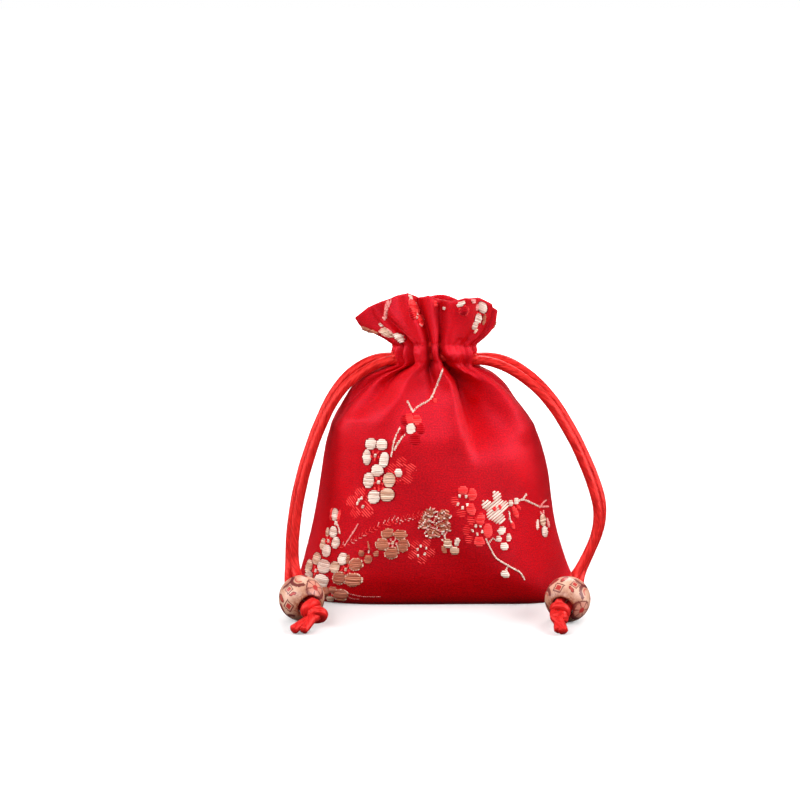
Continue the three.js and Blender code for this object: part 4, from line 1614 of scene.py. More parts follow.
LINED_BLOSSOMS: tuple[Motif, ...] = (
    # Ivory blossom of slanted stripes
    Motif(15.5, 28.5, (
        Lobe(0.3, 3.2, 2.7, 3.2), Lobe(-2.6, 1.1, 2.9, 2.9), Lobe(2.3, 0.8, 2.7, 2.7),
        Lobe(-1.4, -1.6, 3.4, 3.4), Lobe(0.4, -2.8, 3.6, 3.2), Lobe(0.0, 0.2, 4.4, 4.2)), Fill.STRIPED, 36.0),
    # Petals under that blossom's loose lines, in darkened ivory weft as painted shade
    Motif(-0.8, 24.9, (
        Lobe(-1.8, 2.5, 3.3, 2.9, 20, TAN), Lobe(2.3, 2.3, 3.4, 3.0, -20, TAN),
        Lobe(2.6, -1.0, 3.4, 3.4, 0, TAN), Lobe(-2.9, -0.3, 3.2, 3.4, 0, TAN),
        Lobe(-0.3, -2.9, 3.6, 3.0, 0, TAN)), Fill.STRIPED, -32.0),
    # Far petals of the red blossoms
    Motif(6.3, 30.9, (
        Lobe(-2.0, 0.2, 2.4, 3.0, 0, CORAL), Lobe(-0.4, -3.0, 3.0, 2.5, 0, CORAL)), Fill.FLECKED, 8.0),
    Motif(10.1, 23.1, (
        Lobe(-1.3, 2.7, 2.6, 2.7, 20, CORAL), Lobe(-2.1, -2.8, 2.4, 2.5, 0, CORAL),
        Lobe(-2.7, -0.2, 2.4, 2.8, 0, CORAL)), Fill.FLECKED, -6.0),
    # Faint blossoms in the ground's own colour
    Motif(-20.3, 29.6, petals((CORAL,) * 5, 2.9, 3.4, 3.3, 100.0), Fill.FLECKED, -44.0),
    Motif(-9.6, 39.0, petals((CORAL,) * 5, 2.6, 3.0, 3.0, 20.0), Fill.FLECKED, -36.0),
    Motif(-4.4, 16.8, petals((CORAL,) * 5, 2.5, 2.8, 2.8, 60.0), Fill.FLECKED, -40.0),
)

BRANCHES: tuple[Branch, ...] = (
    Branch(((1.0, 65.0), (-0.1, 61.0), (-1.2, 58.5), (-2.4, 56.9), (-4.8, 55.8), (-6.6, 54.4))),
    Branch(((-6.6, 54.4), (-7.2, 55.4), (-7.9, 56.8)), width=0.7),
    Branch(((-10.0, 50.4), (-11.2, 47.9), (-11.8, 45.8), (-12.3, 43.2)), width=0.6),
    Branch(((-8.9, 48.8), (-10.3, 46.8), (-11.4, 45.0)), width=0.7),
    Branch(((-24.6, 17.6), (-22.8, 20.7), (-21.1, 23.8)), ROSE, 0.6, 4.0, 0.4),
    Branch(((20.4, 29.6), (22.2, 30.2), (24.3, 29.0), (26.7, 27.2))),
    Branch(((26.7, 27.2), (28.0, 26.7), (29.2, 26.2)), ROSE, 0.7, 25.0, 0.26),
    Branch(((26.9, 27.0), (27.8, 27.8), (28.8, 28.0)), ROSE, 0.5, 25.0, 0.24),
    Branch(((22.2, 30.2), (23.1, 31.4)), width=0.6),
    Branch(((18.9, 27.2), (19.0, 25.4), (19.7, 23.9)), width=0.6),
    Branch(((12.6, 20.2), (14.0, 17.2), (15.4, 14.8), (18.8, 12.3), (21.8, 10.2), (22.9, 8.2))),
    Branch(((13.6, 19.6), (14.4, 20.4), (15.2, 19.8)), width=0.5),
    Branch(((17.8, 10.6), (18.4, 12.3)), width=0.6),
    Branch(((-26.7, 23.0), (-26.2, 22.0), (-26.0, 20.8)), width=0.7),
    Branch(((-24.7, 4.7), (-23.6, 3.8), (-22.0, 3.4), (-19.0, 3.0), (-15.3, 3.1)), ROSE, 0.3, 0.0, 0.5),
    Branch(((-24.4, 4.0), (-23.8, 2.8), (-22.6, 2.2), (-21.0, 2.2)), ROSE, 0.3, 0.0, 0.5),
    # Long leaf on the ruffle
    Branch(((-13.6, 84.4), (-14.4, 82.4), (-15.0, 80.2)), ROSE, 0.9, 6.0, 0.4),
    Branch(((-12.9, 84.2), (-13.9, 82.2), (-14.8, 80.0)), ROSE, 0.7, 6.0, 0.4),
)

FERNS: tuple[Fern, ...] = (
    Fern(((-26.2, 16.8), (-21.9, 19.6), (-16.0, 23.7))),
    Fern(((-14.4, 24.4), (-12.1, 25.3), (-8.6, 26.0), (-4.8, 27.1)), leaf=1.5, gap=1.1),
)

# Petals in the darkened ivory wefts are painted shade of the ivory weft
BUDS: tuple[Motif, ...] = (
    Motif(-10.4, 38.6, spots(IVORY, 1.9, (0.0, 0.0))), Motif(-0.8, 56.8, spots(CORAL, 1.3, (0.0, 0.0))),
    Motif(-27.3, 25.1, (
        Lobe(-1.4, 0.0, 1.1, 3.4, 6, CORAL), Lobe(1.5, 0.2, 1.1, 3.4, -6, CORAL), Lobe(0.0, 0.2, 2.3, 3.0),
        Lobe(0.8, -2.0, 1.4, 1.1, 20))),
    Motif(19.4, 29.6, spots(IVORY, 1.6, (-0.2, 0.0), (1.5, 0.4))),
    Motif(20.5, 26.9, (Lobe(0.0, 0.0, 1.7, 3.6, 20, CORAL), Lobe(1.0, 1.4, 0.9, 2.2, 40, CORAL))),
    Motif(19.8, 23.4, (Lobe(0.0, 0.0, 1.4, 1.9, 20, CORAL),)), Motif(17.8, 10.0, (Lobe(0.0, 0.0, 2.2, 1.9),)),
    Motif(15.5, 28.5, (
        Lobe(-0.7, 0.0, 1.4, 1.3, -40, CORAL, raised=0.15),
        Lobe(0.9, 0.4, 1.4, 1.3, -40, CORAL, raised=0.15))),
    Motif(-20.3, 29.6, spots(IVORY, 0.85, (0.1, 1.6), (-0.9, 0.0), (0.7, -0.7), (-0.6, 0.9))),
    Motif(-4.4, 16.9, spots(IVORY, 0.75, (-1.0, 0.4), (-0.2, 1.4), (1.3, 0.8), (0.9, -0.9), (-0.8, -1.4))),
    Motif(28.0, 21.8, (
        Lobe(-2.2, 0.6, 1.1, 2.9, -10), Lobe(2.2, 0.2, 1.1, 2.8, 12, ROSE), Lobe(0.0, 1.5, 2.2, 2.9, 0, HALF_SHADED_IVORY),
        Lobe(0.2, -1.8, 2.2, 2.7), Lobe(-0.3, 3.4, 0.5, 1.6, 30, ROSE), Lobe(0.7, 3.3, 0.5, 1.6, -20, ROSE))),
)

# Petals in the darkened ivory wefts are painted shade of the ivory weft
RUFFLE_MOTIFS: tuple[Motif, ...] = (
    Motif(0.0, 76.6, (
        Lobe(-2.2, 2.6, 1.9, 3.0, 16, TAN), Lobe(-1.1, 0.9, 1.5, 2.0, 10, TAN),
        Lobe(1.6, -0.4, 2.9, 3.1, 0, HALF_SHADED_IVORY, ROSE), Lobe(3.6, -2.8, 2.3, 2.6), Lobe(1.8, 2.4, 1.3, 1.1)),
        bearing=-70.0),
    Motif(-6.4, 80.2, (
        Lobe(-1.4, -0.6, 2.0, 2.6, 0, GARNET), Lobe(0.0, 1.8, 3.0, 2.5, 0, CORAL, ROSE),
        Lobe(-0.5, -0.6, 2.0, 2.2, 0, CORAL), Lobe(1.2, 0.6, 2.0, 2.6, 0, CORAL),
        Lobe(1.6, -2.6, 2.0, 2.6, 0, CORAL, ROSE), Lobe(-0.3, 3.9, 1.8, 1.4),
        *spots(IVORY, 0.75, (-0.3, 0.5), (0.9, -0.6), (0.9, 1.5), (0.2, -1.6)))),
    Motif(0.6, 82.6, (*spots(CORAL, 1.2, (-1.2, 0.4)), *spots(IVORY, 0.8, (1.0, -0.3)))),
    Motif(6.2, 81.4, (
        Lobe(0.0, 0.0, 2.2, 2.2, 0, GARNET, CORAL), Lobe(-0.9, 2.1, 2.3, 1.4, 10),
        Lobe(2.6, 2.8, 2.1, 1.4, -20, ROSE))),
    Motif(11.0, 80.6, (
        Lobe(0.4, 2.3, 2.6, 2.5), Lobe(-1.2, 1.8, 1.4, 1.6, 0, ROSE), Lobe(-0.2, -1.0, 2.3, 2.4),
        Lobe(-0.5, -3.2, 2.0, 2.0), Lobe(1.6, -0.6, 1.2, 3.0, 10, TAN), Lobe(0.6, -4.6, 1.0, 1.6, 0, HALF_SHADED_IVORY),
        *spots(CORAL, 0.6, (0.0, 0.5), (0.6, -2.0), (-0.9, -2.0), (-1.0, 0.3)))),
)


@dataclass(frozen=True)
class Strand:
    """One float: the place that it is measured from, and its points from there, in millimetres."""

    bearing: float
    level: float
    right: np.ndarray
    up: np.ndarray
    lift: np.ndarray
    share: float


@dataclass
class WovenPattern:
    """The pattern's floats: raised weft that runs across each lobe and dips into the satin at its edge."""

    shape: PouchShape
    pitch: float = 0.48
    crown: float = 0.62
    crown_range: Span = (0.74, 1.16)
    edge_crown: float = 0.3
    small_crown: Span = (0.42, 0.24)
    swell: float = 1.13
    swell_from: float = 1.7
    ragged: float = 0.07
    shortest: float = 0.2
    float_width: float = 2.2
    float_step: float = 0.3
    float_steps: tuple[int, int] = (6, 4)
    float_across: tuple[float, ...] = (-0.55, -0.3, 0.0, 0.3, 0.55)
    float_fall: tuple[float, ...] = (0.55, 0.14, 0.0, 0.14, 0.55)
    dome: Span = (2.8, 0.6)
    sink: float = 0.1
    stripe: Point = (0.68, 0.53, 0.34)
    fleck: Point = (0.6, 0.36, 0.14)
    fleck_length: Span = (1.6, 4.5)
    line_crown: Span = (0.8, 1.15)
    line_gap: Span = (0.1, 0.35)
    line_shortest: float = 0.25
    reach: float = 7.0
    foot: float = 0.5
    level_limits: Span = (0.2, 84.6)
    least_scale: float = 0.12
    trim_gap: float = 0.62
    trim_size: float = 0.66
    trim_kept: float = 0.6
    # Dark ring round large ivory lobes: partly outline thread, partly painted shade
    outline_and_shade_width: float = 0.3
    outline_and_shade_inset: float = 0.08
    outline_and_shade_lift: Point = (-0.06, 0.16, -0.06)
    outline_and_shade_steps: int = 33
    outline_and_shade_share: float = 0.5
    shade_stray: float = 10.0
    strands: dict[Thread, list[Strand]] = field(default_factory=dict)

    def chart(self) -> list[Motif]:
        """Every motif of the front, in the order that they lie over each other."""
        figures = (*FERNS, *BRANCHES, *LINED_BLOSSOMS, *BLOSSOMS, *BUDS, *RUFFLE_MOTIFS)
        return [motif for figure in figures for motif in figure.motifs()]

    def weave(self, motif: Motif, on_back: bool, chance: np.random.Generator) -> None:
        """Lays the floats of one motif.

        Args:
            motif: The motif.
            on_back: True to lay it on the pouch's back.
            chance: Source of the small unevenness.
        """
        bearing = self.shape.bearing_of(motif.x, motif.level) if motif.bearing is None else motif.bearing
        anchor = (float(bearing) + 180.0 * on_back, motif.level)
        if motif.fill is Fill.SOLID:
            for lobe in motif.lobes:
                self.fill_lobe(lobe, anchor, chance)
        else:
            self.fill_lines(motif, anchor, chance)

    def fill_lobe(self, lobe: Lobe, anchor: Span, chance: np.random.Generator) -> None:
        """Fills a lobe with level floats, higher in its middle, and trims its edge.

        Args:
            lobe: The lobe.
            anchor: Bearing and level of its motif's middle.
            chance: Source of the small unevenness.
        """
        if min(lobe.width, lobe.height) > self.swell_from:
            lobe = replace(lobe, width=lobe.width * self.swell, height=lobe.height * self.swell)
        turn = math.radians(lobe.turn)
        tall = math.hypot(lobe.width * math.sin(turn), lobe.height * math.cos(turn)) / 2
        count = max(2, round(2 * tall / self.pitch))
        base, rate = self.small_crown
        small = min(1.0, base + rate * min(lobe.width, lobe.height))
        for step in (np.arange(count) + 0.5) / count * 2 - 1:
            row = lobe.up + tall * step
            crossed = lobe.run(row, 0.0)
            ragged = chance.normal(0.0, self.ragged, 2)
            domed = self.edge_crown + (1.0 - self.edge_crown) * math.sqrt(1.0 - step**2)
            crown = self.crown * small * domed * chance.uniform(*self.crown_range) + lobe.raised
            if crossed is not None and crossed[1] - crossed[0] > self.shortest:
                ends = (crossed[0] + ragged[0], crossed[1] + ragged[1], row)
                self.lay_float(lobe.thread, anchor, ends, 0.0, self.float_width * tall / count, crown, chance)
        # Large ivory lobes get a dark ring: partly outline thread, partly painted shade
        if lobe.trim is None and lobe.thread in (IVORY, HALF_SHADED_IVORY) and small == 1.0:
            self.lay_outline_and_shade(lobe, anchor)
        if lobe.trim is not None:
            for spot in lobe.edge(self.trim_gap, self.trim_size):
                if chance.uniform() < self.trim_kept:
                    self.fill_lobe(spot, anchor, chance)

    def lay_outline_and_shade(self, lobe: Lobe, anchor: Span) -> None:
        """Lays a dark ring round a lobe's edge: partly an outline thread, partly painted shade of the gap
        where the floats dip.

        Args:
            lobe: The lobe.
            anchor: Bearing and level of its motif's middle.
        """
        angle = np.linspace(0.0, 2 * math.pi, self.outline_and_shade_steps)[:, None]
        off = self.outline_and_shade_width * np.array([[1.0, 0.5, 0.0]]) - self.outline_and_shade_inset
        across, high = (
            (size / 2 + off) * np.sign(wave) * np.abs(wave) ** (2.0 / lobe.power)
            for size, wave in ((lobe.width, np.cos(angle)), (lobe.height, np.sin(angle))))
        right, up = rotated(across, high, lobe.turn)
        lift = np.repeat([self.outline_and_shade_lift], len(angle), axis=0)
        self.keep(OUTLINE_AND_SHADE, Strand(*anchor, lobe.right + right, lobe.up + up, lift, self.outline_and_shade_share))

    def keep(self, thread: Thread, strand: Strand) -> None:
        """Keeps a strand, unless it comes too near the pouch's foot."""
        if strand.level + strand.up.min() > self.foot:
            self.strands.setdefault(thread, []).append(strand)

    def fill_lines(self, motif: Motif, anchor: Span, chance: np.random.Generator) -> None:
        """Fills a motif with stripes, or with broken lines of flecks.

        Args:
            motif: The motif.
            anchor: Bearing and level of its middle.
            chance: Source of the small unevenness.
        """
        pitch, thick, crown = self.stripe if motif.fill is Fill.STRIPED else self.fleck
        for row in np.arange(-self.reach, self.reach, pitch):
            for start, end in motif.crossings(row):
                at = start
                while at < end - self.line_shortest:
                    step = end - at
                    if motif.fill is Fill.FLECKED:
                        step = min(step, chance.uniform(*self.fleck_length))
                    high = crown * chance.uniform(*self.line_crown)
                    ends = (at, at + step, row)
                    self.lay_float(motif.lobes[0].thread, anchor, ends, motif.lay, thick, high, chance)
                    at += step + chance.uniform(*self.line_gap)

    def lay_float(self, thread: Thread, anchor: Span, run: Point, lay: float, thick: float, crown: float,
                  chance: np.random.Generator) -> None:
        """Lays one float as a low rounded strip.

        Args:
            thread: The float's thread.
            anchor: Bearing and level of its motif's middle.
            run: Its start, its end and its row in the motif.
            lay: Direction of the float in degrees.
            thick: Its width.
            crown: Its height.
            chance: Source of the small unevenness.
        """
        start, end, row = run
        least, more = self.float_steps
        count = max(least, int((end - start) / self.float_step) + more)
        share = np.linspace(0.0, 1.0, count)
        along = np.repeat((start + (end - start) * share)[:, None], len(self.float_across), axis=1)
        across = np.repeat(row + thick * np.array([self.float_across]), count, axis=0)
        steep, blunt = self.dome
        dome = np.clip(1.0 - np.abs(2.0 * share - 1.0) ** steep, 0.0, 1.0) ** blunt
        lift = (crown + self.sink) * dome[:, None] - self.sink - thick * np.array([self.float_fall])
        right, up = rotated(along, across, lay)
        self.keep(thread, Strand(*anchor, right, up, lift, chance.uniform()))

    def build(self) -> dict[Thread, Piece]:
        """Makes one piece of floats for each colour of thread.

        Returns:
            The pieces by their thread.
        """
        chance = np.random.default_rng(SEED)
        for motif in self.chart():
            self.weave(motif, False, chance)
            self.weave(motif, True, chance)
        return {thread: self.piece(thread, rows) for thread, rows in self.strands.items()}

    def piece(self, thread: Thread, rows: list[Strand]) -> Piece:
        """Makes the piece of one colour.

        Args:
            thread: The colour.
            rows: Its floats.

        Returns:
            The piece.
        """
        bearing = np.array([row.bearing for row in rows])
        level = np.array([row.level for row in rows])
        scale = self.shape.frame(bearing, level)[2]
        spread = np.repeat(np.arange(len(rows)), [row.right.size for row in rows])
        right = np.concatenate([row.right.ravel() for row in rows])
        up = np.concatenate([row.up.ravel() for row in rows])
        lift = np.concatenate([row.lift.ravel() for row in rows])
        at_bearing = bearing[spread] + right / np.maximum(scale[spread, 0], self.least_scale)
        at_level = np.clip(level[spread] + up / scale[spread, 1], *self.level_limits)
        here, out, _ = self.shape.frame(at_bearing, at_level)
        faces = []
        first = 0
        for row in rows:
            count, wide = row.right.shape
            for n in range(count - 1):
                for k in range(wide - 1):
                    corner = first + wide * n + k
                    faces.append([corner, corner + wide, corner + wide + 1, corner + 1])
            first += wide * count
        piece = new_piece(f"{thread.value}_floats", (here + out * lift[:, None]) * MM, faces)
        set_uv(piece, right + self.shade_stray * np.sin(spread), up + level[spread])
        set_share(piece, "strand", np.array([row.share for row in rows])[spread])
        return piece

    def dress(self, wardrobe: Wardrobe, pieces: dict[Thread, Piece]) -> None:
        """Gives each colour of float its thread."""
        for thread, piece in pieces.items():
            piece.data.materials.append(wardrobe.threads[thread])


# Cords, beads and knots

# Places that each strand passes, from the casing to the bead, in millimetres
ROUTES: dict[Hand, tuple[tuple[Point, ...], tuple[Point, ...]]] = {
    Hand.LEFT: (
        ((-14.6, -1.5, 67.2), (-18.0, -2.2, 64.2), (-21.9, -3.2, 60.4),
         (-25.9, -4.4, 55.6), (-29.6, -5.7, 48.6), (-32.6, -7.0, 40.4),
         (-34.8, -8.1, 32.0), (-36.2, -9.1, 24.2), (-36.9, -10.0, 16.8),
         (-36.9, -11.0, 11.4), (-36.7, -13.0, 7.6)),
        ((-14.6, 1.4, 68.0), (-18.6, 0.9, 66.6), (-22.6, -0.2, 63.6),
         (-26.8, -1.8, 58.6), (-30.8, -3.6, 51.0), (-34.2, -5.4, 42.4),
         (-37.0, -7.1, 33.6), (-38.8, -8.6, 24.8), (-39.8, -9.9, 16.8),
         (-39.9, -11.2, 11.2), (-39.5, -13.6, 7.4))),
    Hand.RIGHT: (
        ((13.6, -1.5, 65.2), (17.8, -2.1, 63.2), (23.0, -3.0, 59.6),
         (28.2, -4.0, 54.6), (32.2, -5.0, 48.6), (35.6, -6.0, 42.4),
         (38.1, -7.0, 36.4), (40.2, -8.0, 30.2), (41.2, -8.9, 25.0),
         (40.5, -9.8, 19.6), (38.2, -10.9, 14.2), (35.6, -12.2, 9.6),
         (34.6, -14.0, 6.9)),
        ((13.6, 1.4, 65.8), (18.8, 0.8, 64.9), (24.2, -0.4, 62.0),
         (29.6, -2.0, 56.8), (33.8, -3.6, 50.8), (37.4, -5.2, 44.4),
         (40.5, -6.7, 38.0), (43.0, -8.0, 32.0), (44.1, -9.1, 26.4),
         (43.2, -10.1, 20.6), (40.8, -11.2, 14.8), (38.4, -12.6, 9.6),
         (37.2, -14.4, 6.8)))}


@dataclass(frozen=True)
class KnotTurn:
    """One turn of cord in a knot: where it lies along the knot, its half sizes, its tilts and its sweep."""

    along: float
    right: float
    raised: float
    wide: float
    high: float
    tilt: float
    yaw: float
    start: float
    sweep: float = 400.0
    drift: float = 1.0


@dataclass
class DrawCord:
    """One drawcord: two strands from the casing to a bead, and the knot that holds them."""

    hand: Hand
    side: float
    turn_level: float
    bead: Span
    swing: float
    tails: tuple[Span, Span]
    turns: tuple[KnotTurn, ...]
    mouth_drop: float = 0.0
    bead_roll: float = 0.0
    dip: float = 10.0
    entry_turn: float = 50.0
    diameter: float = 2.5
    pitch: float = 2.8
    bead_diameter: float = 12.0
    hole: float = 5.9
    casing_level: float = 68.8
    casing_drop: float = 2.0
    casing_shift: float = -0.8
    casing_half_width: float = 7.55
    casing_half_depth: float = 5.75
    lane: float = 1.45
    mouth_start: float = 1.2
    mouth_run: float = 3.0
    mouth_fade: Point = (0.9, 0.55, 0.2)
    nestle: float = 0.3
    nestle_rate: float = 3.0
    depth_gap: float = 1.25
    spread: float = 0.5
    front_entry: Point = (0.0, -1.8, 1.5)
    through: Point = (-3.0, 1.5, 5.25)
    line_step: float = 0.35
    easing: int = 70
    loop_open: float = 29.0
    loop_clear: float = 0.3
    loop_give: float = 4.6
    loop_end: float = 3.9
    rim_worn: float = 0.45
    lip: Table = ((0.26, 0.02), (0.1, -0.08), (0.0, -0.32))
    bore_from: float = 0.9
    bead_sides: int = 72
    knot_back: float = 5.55
    knot_length: float = 6.6
    knot_course: Table = ((-3.4, 1.2, 0.0), (-1.6, 1.1, 0.2), (0.3, 0.8, -0.5))
    tail_share: float = 0.55
    tail_sag: float = 0.3
    tail_height: float = 1.3

    def axes(self) -> tuple[np.ndarray, np.ndarray, np.ndarray]:
        """Directions of the bead: aside to the camera's right, up, and along its hole to the knot.

        Returns:
            The three directions.
        """
        swing, dip = math.radians(self.swing), math.radians(self.dip)
        aside = np.array([math.cos(swing), math.sin(swing), 0.0])
        hole = np.array([math.sin(swing) * math.cos(dip), -math.cos(swing) * math.cos(dip), -math.sin(dip)])
        return aside, np.cross(hole, aside), hole

    def bead_centre(self) -> np.ndarray:
        """Middle of the bead."""
        return np.array([*self.bead, self.bead_diameter / 2])

    def strand_line(self, number: int) -> np.ndarray:
        """Middle line of one strand, from the casing's mouth through the bead.

        Args:
            number: 0 for the front strand and 1 for the back one.

        Returns:
            Its points in millimetres.
        """
        aside, up, hole = self.axes()
        turn = math.radians(self.entry_turn)
        lean = (1.0, -1.0)[number] * self.pitch / 2
        aside = lean * (up * math.sin(turn) - aside * self.side * math.cos(turn))
        level = self.casing_level - self.casing_drop + self.turn_level * self.pitch / 2 - self.mouth_drop
        lane = (-self.lane, self.lane)[number]
        mouth = self.casing_shift + self.side * (self.casing_half_width + self.mouth_start)
        start = np.array([[mouth, lane, level], [mouth + self.side * self.mouth_run, lane, level]])
        route, other = (np.array(ROUTES[self.hand][n]) for n in (number, 1 - number))
        middle = np.sin(np.linspace(0.0, math.pi, len(route)))
        middle_part = np.minimum(self.nestle_rate * middle, 1.0)
        close = self.nestle * middle_part[:, None]
        route = route * (1.0 - close) + other * close
        route[:, 1] += (-1.0, 1.0)[number] * self.depth_gap * middle_part
        route[:, 0] += self.side * self.spread * middle
        route[:3, 2] -= self.mouth_drop * np.array(self.mouth_fade)
        route[-1] += np.array(self.front_entry) * (1 - number)
        inside = [self.bead_centre() + aside + hole * along for along in self.through]
        curve = catmull_rom(np.vstack([start, route, inside]), 24)
        return eased(spaced(curve, self.line_step), self.easing)

    def strands(self) -> list[Piece]:
        """Returns:
            The strands.
        """
        made = []
        for number, name in enumerate(("front", "back")):
            line = self.strand_line(number)
            tube = Tube(line, self.diameter / 2, 24, ribs=5, rib_depth=0.018, rib_pitch=9.0)
            piece = tube_piece(f"cord_{self.hand.value}_{name}", [tube])
            made.append(piece)
        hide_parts(f"drawcord_{self.hand.value}")
        return made

    def declare(self, strands: list[Piece], bead: Piece,
                knot: Piece) -> None:
        """Works out each strand's middle line in metres, and keeps none of it.

        Args:
            strands: The two strands.
            bead: The bead on them; not used.
            knot: The knot on them; not used.
        """
        for number, piece in enumerate(strands):
            line = self.strand_line(number) * MM

    def loop(self, shape: PouchShape) -> Piece:
        """Makes the hidden turn of the cord inside the casing, which gives way where the cloth folds in.

        Args:
            shape: The cloth's outer face.

        Returns:
            The turn.
        """
        open_angle = math.radians(self.loop_open)
        turn = np.linspace(open_angle, 2 * math.pi - open_angle, 90)
        across = np.cos(turn) * self.side
        level = self.casing_level - self.casing_drop * across**2 + self.turn_level * self.pitch / 2
        bearing = np.degrees(np.arctan2(across, np.sin(turn)))
        inward = shape.push(bearing, np.full_like(bearing, self.casing_level)) + self.loop_clear
        x, y = self.casing_half_width * across, -self.casing_half_depth * np.sin(turn)
        share = 1.0 - np.clip(inward, 0.0, self.loop_give) / np.hypot(x, y)
        line = np.stack([self.casing_shift + x * share, y * share, level], axis=1)
        mouth = self.casing_shift + self.side * (self.casing_half_width + self.loop_end)
        ends = [np.array([[mouth, lane, level[0] - self.mouth_drop]]) for lane in (-self.lane, self.lane)]
        path = spaced(catmull_rom(np.vstack([ends[0], line, ends[1]]), 6), 0.5)
        return tube_piece(f"cord_{self.hand.value}_in_casing", [Tube(path, self.diameter / 2, 16)])

    def bead_piece(self) -> Piece:
        """Turns the bead: a ball with a bored hole and worn rims.

        Returns:
            The bead, with its hole along its own Z axis.
        """
        radius, bore, sides = self.bead_diameter / 2, self.hole / 2, self.bead_sides
        rim = math.acos(min(1.0, (bore + self.rim_worn) / radius))
        outline = [(radius * math.cos(t), radius * math.sin(t)) for t in np.linspace(-rim, rim, 46)]
        top = outline[-1][1]
        lip = [(bore + out, top + up) for out, up in self.lip]
        wall = [(bore, z) for z in np.linspace(top - self.bore_from, self.bore_from - top, 8)]
        profile = np.array([*outline, *lip, *wall, *[(r, -z) for r, z in lip[::-1]]])
        angle = np.arange(sides) * 2 * math.pi / sides
        out, up = profile[:, :1], profile[:, 1:]
        points = np.stack([out * np.cos(angle), out * np.sin(angle), np.repeat(up, sides, 1)], axis=-1)
        rows = len(profile)
        last = np.arange(sides)
        after = (last + 1) % sides
        closing = np.stack([last + (rows - 1) * sides, after + (rows - 1) * sides, after, last], axis=1)
        faces = np.vstack([grid_faces(rows, sides), closing]).tolist()
        name = f"bead_{self.hand.value}"
        piece = new_piece(f"printed_{name}", points.reshape(-1, 3) * MM, faces)
        turned = Matrix([tuple(axis) for axis in self.axes()]).transposed().to_4x4()
        roll = Matrix.Rotation(math.radians(self.bead_roll), 4, "Z")
        piece.matrix_world = Matrix.Translation(Vector(self.bead_centre() * MM)) @ turned @ roll
        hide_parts(name)
        return piece

    def knot_piece(self) -> Piece:
        """Ties the knot: both strands under two crossed turns, with two cut tails.

        Returns:
            The knot.
        """
        aside, up, hole = self.axes()
        centre = self.bead_centre() + hole * (self.knot_back + self.knot_length / 2)
        lines = []
        for lean, tail in zip((1.0, -1.0), self.tails):
            end = np.array([*tail, self.tail_height])
            course = [
                centre + hole * along + aside * (lean * right) + up * raised
                for along, right, raised in self.knot_course]
            bend = centre * (1.0 - self.tail_share) + end * self.tail_share - up * self.tail_sag
            lines.append(catmull_rom(np.array([*course, bend, end]), 14))
        for turn in self.turns:
            angle = np.radians(np.linspace(turn.start, turn.start + turn.sweep, 40))
            tilt, yaw = math.radians(turn.tilt), math.radians(turn.yaw)
            over = up * math.cos(tilt) + hole * math.sin(tilt)
            beside = aside * math.cos(yaw) + hole * math.sin(yaw)
            drift = hole * np.linspace(-0.5, 0.5, len(angle))[:, None] * turn.drift
            ring = beside * (np.cos(angle) * turn.wide)[:, None] + over * (np.sin(angle) * turn.high)[:, None]
            middle = centre + hole * turn.along + up * turn.raised + aside * turn.right
            lines.append(catmull_rom(middle + ring + drift, 3))
        ribbed = {"ribs": 6, "rib_depth": 0.03, "rib_pitch": 7.0}
        tubes = [Tube(spaced(line, 0.25), self.diameter / 2, 24, **ribbed) for line in lines]
        piece = tube_piece(f"tied_knot_{self.hand.value}", tubes)
        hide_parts(f"knot_{self.hand.value}")
        return piece

    def dress(self, wardrobe: Wardrobe, cords: list[Piece], bead: Piece) -> None:
        """Gives the cords and the bead their finishes.

        Args:
            wardrobe: The finishes.
            cords: The strands, the knot and the turn in the casing.
            bead: The bead.
        """
        for piece in cords:
            piece.data.materials.append(wardrobe.cord)
        bead.data.materials.append(wardrobe.wood)


DRAWCORDS: tuple[DrawCord, ...] = (
    DrawCord(
        Hand.LEFT, -1.0, 1.0, (-35.8, -21.4), 25.0, ((-37.9, -34.0), (-35.2, -34.4)),
        (KnotTurn(-2.2, -0.2, 0.2, 1.9, 1.7, 12.0, -14.0, -40.0),
         KnotTurn(-0.3, 0.7, -0.7, 1.7, 1.7, 22.0, 34.0, 120.0, 420.0)),
        mouth_drop=2.6, bead_roll=75.0),
    DrawCord(
        Hand.RIGHT, 1.0, -1.0, (33.9, -22.3), -20.0, ((31.0, -34.6), (32.2, -35.4)),
        (KnotTurn(-2.2, 0.0, 0.2, 1.6, 1.6, 16.0, 10.0, 150.0),
         KnotTurn(-0.3, 0.3, -1.1, 1.2, 1.3, 40.0, -18.0, 20.0, 410.0))),
)


# Studio


def hang(name: str, data: bpy.types.ID, place: Point, aim: Point) -> Piece:
    """Hangs a light or a camera at one place and aims it at another.

    Args:
        name: Its name.
        data: The light or the camera.
        place: Where it hangs.
        aim: Where it points.

    Returns:
        The new object.
    """
    made = bpy.data.objects.new(name, data)
    made.location = place
    made.rotation_euler = (Vector(aim) - Vector(place)).to_track_quat("-Z", "Y").to_euler()
    bpy.context.scene.collection.objects.link(made)
    return made


@dataclass(frozen=True)
class SoftBox:
    """A soft studio light."""

    name: str
    place: Point
    aim: Point
    width: float
    height: float
    power: float

    def build(self) -> None:
        """Hangs the light."""
        lamp = bpy.data.lights.new(self.name, "AREA")
        lamp.shape = "RECTANGLE"
        lamp.size, lamp.size_y, lamp.energy = self.width, self.height, self.power
        hang(self.name, lamp, self.place, self.aim)


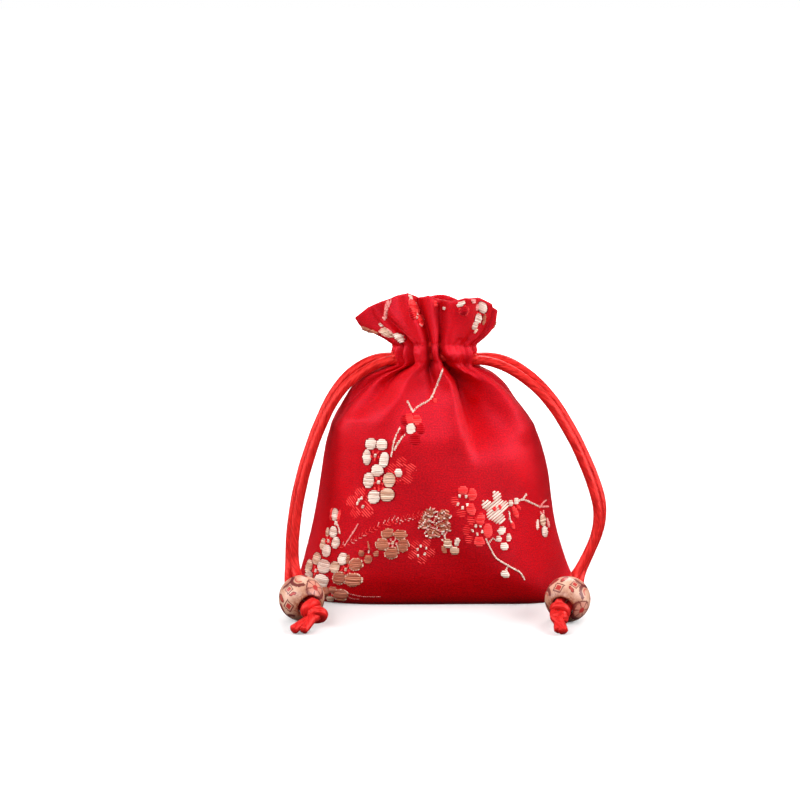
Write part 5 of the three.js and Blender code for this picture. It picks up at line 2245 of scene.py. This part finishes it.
@dataclass
class Studio:
    """Floor, lights and camera."""

    eye: Point = (-0.0100, -0.7150, 0.2324)
    target: Point = (-0.0100, 0.0127, 0.0510)
    lens: float = 124.9
    sensor: float = 36.0
    floor_side: float = 3.0
    sky: float = 0.3
    ground: float = 0.03
    horizon: Span = (-0.1, 0.6)
    clip: Span = (0.01, 50.0)
    lights: tuple[SoftBox, ...] = (
        SoftBox("left_box", (-0.66, -0.46, 0.46), (0.0, 0.0, 0.05), 0.5, 0.5, 2.0),
        SoftBox("right_box", (0.64, -0.44, 0.46), (0.0, 0.0, 0.05), 0.5, 0.5, 5.0),
        SoftBox("left_side", (-0.90, -0.06, 0.34), (0.0, 0.0, 0.05), 0.5, 0.5, 5.4),
        SoftBox("right_side", (0.90, -0.06, 0.34), (0.0, 0.0, 0.05), 0.5, 0.5, 5.6),
        SoftBox("front_box", (-0.34, -0.78, 0.62), (0.0, 0.0, 0.06), 0.5, 0.4, 5.8),
        SoftBox("back_box", (0.10, 0.60, 0.60), (0.0, 0.0, 0.05), 0.5, 0.5, 5.0),
    )

    def camera(self) -> None:
        """Sets the camera at the photograph's angle."""
        lens = bpy.data.cameras.new("camera")
        lens.lens, lens.sensor_width = self.lens, self.sensor
        lens.clip_start, lens.clip_end = self.clip
        bpy.context.scene.camera = hang("camera", lens, self.eye, self.target)

    def room(self, wardrobe: Wardrobe) -> None:
        """Lays the floor and sets the lights.

        Args:
            wardrobe: The finishes.
        """
        half = self.floor_side / 2
        mesh = bpy.data.meshes.new("floor")
        corners = [(-half, -half, 0), (half, -half, 0), (half, half, 0), (-half, half, 0)]
        mesh.from_pydata(corners, [], [(0, 1, 2, 3)])
        floor = bpy.data.objects.new("floor", mesh)
        floor.data.materials.append(wardrobe.paper)
        bpy.context.scene.collection.objects.link(floor)
        floor.visible_diffuse = False
        floor.visible_glossy = False
        for light in self.lights:
            light.build()
        world = bpy.data.worlds.new("studio")
        world.use_nodes = True
        board = Board(world.node_tree)
        outward = board.add("ShaderNodeTexCoord").outputs["Generated"]
        up = board.add("ShaderNodeSeparateXYZ", {0: outward}).outputs[2]
        strength = board.remap(up, *self.horizon, self.ground, self.sky)
        seen = board.add("ShaderNodeLightPath").outputs["Is Camera Ray"]
        background = world.node_tree.nodes["Background"]
        board.link(board.math("MAXIMUM", strength, seen), background, "Strength")
        background.inputs["Color"].default_value = (1.0, 1.0, 1.0, 1.0)
        bpy.context.scene.world = world
        bpy.context.scene.view_settings.view_transform = "Standard"


def report(piece: Piece) -> None:
    """Logs a finished piece."""
    log.info("%s: %d faces", piece.name, len(piece.data.polygons))


def main() -> None:
    """Builds the scene in order: camera, cords, cloth, pattern, room."""
    logging.basicConfig(level=logging.INFO, format="%(name)s: %(message)s")
    studio = Studio()
    studio.camera()
    wardrobe = Wardrobe()
    shape = PouchShape()
    for cord in DRAWCORDS:
        strands = cord.strands()
        bead, knot, loop = cord.bead_piece(), cord.knot_piece(), cord.loop(shape)
        cord.declare(strands, bead, knot)
        cord.dress(wardrobe, [*strands, knot, loop], bead)
        for piece in (*strands, loop, bead, knot):
            report(piece)
    pouch = PouchCloth(shape)
    cloth, stitches = pouch.build(), pouch.stitches()
    pouch.dress(wardrobe, cloth, stitches)
    pattern = WovenPattern(shape)
    floats = pattern.build()
    pattern.dress(wardrobe, floats)
    for piece in (cloth, stitches, *floats.values()):
        report(piece)
    studio.room(wardrobe)


if __name__ == "__main__":
    main()
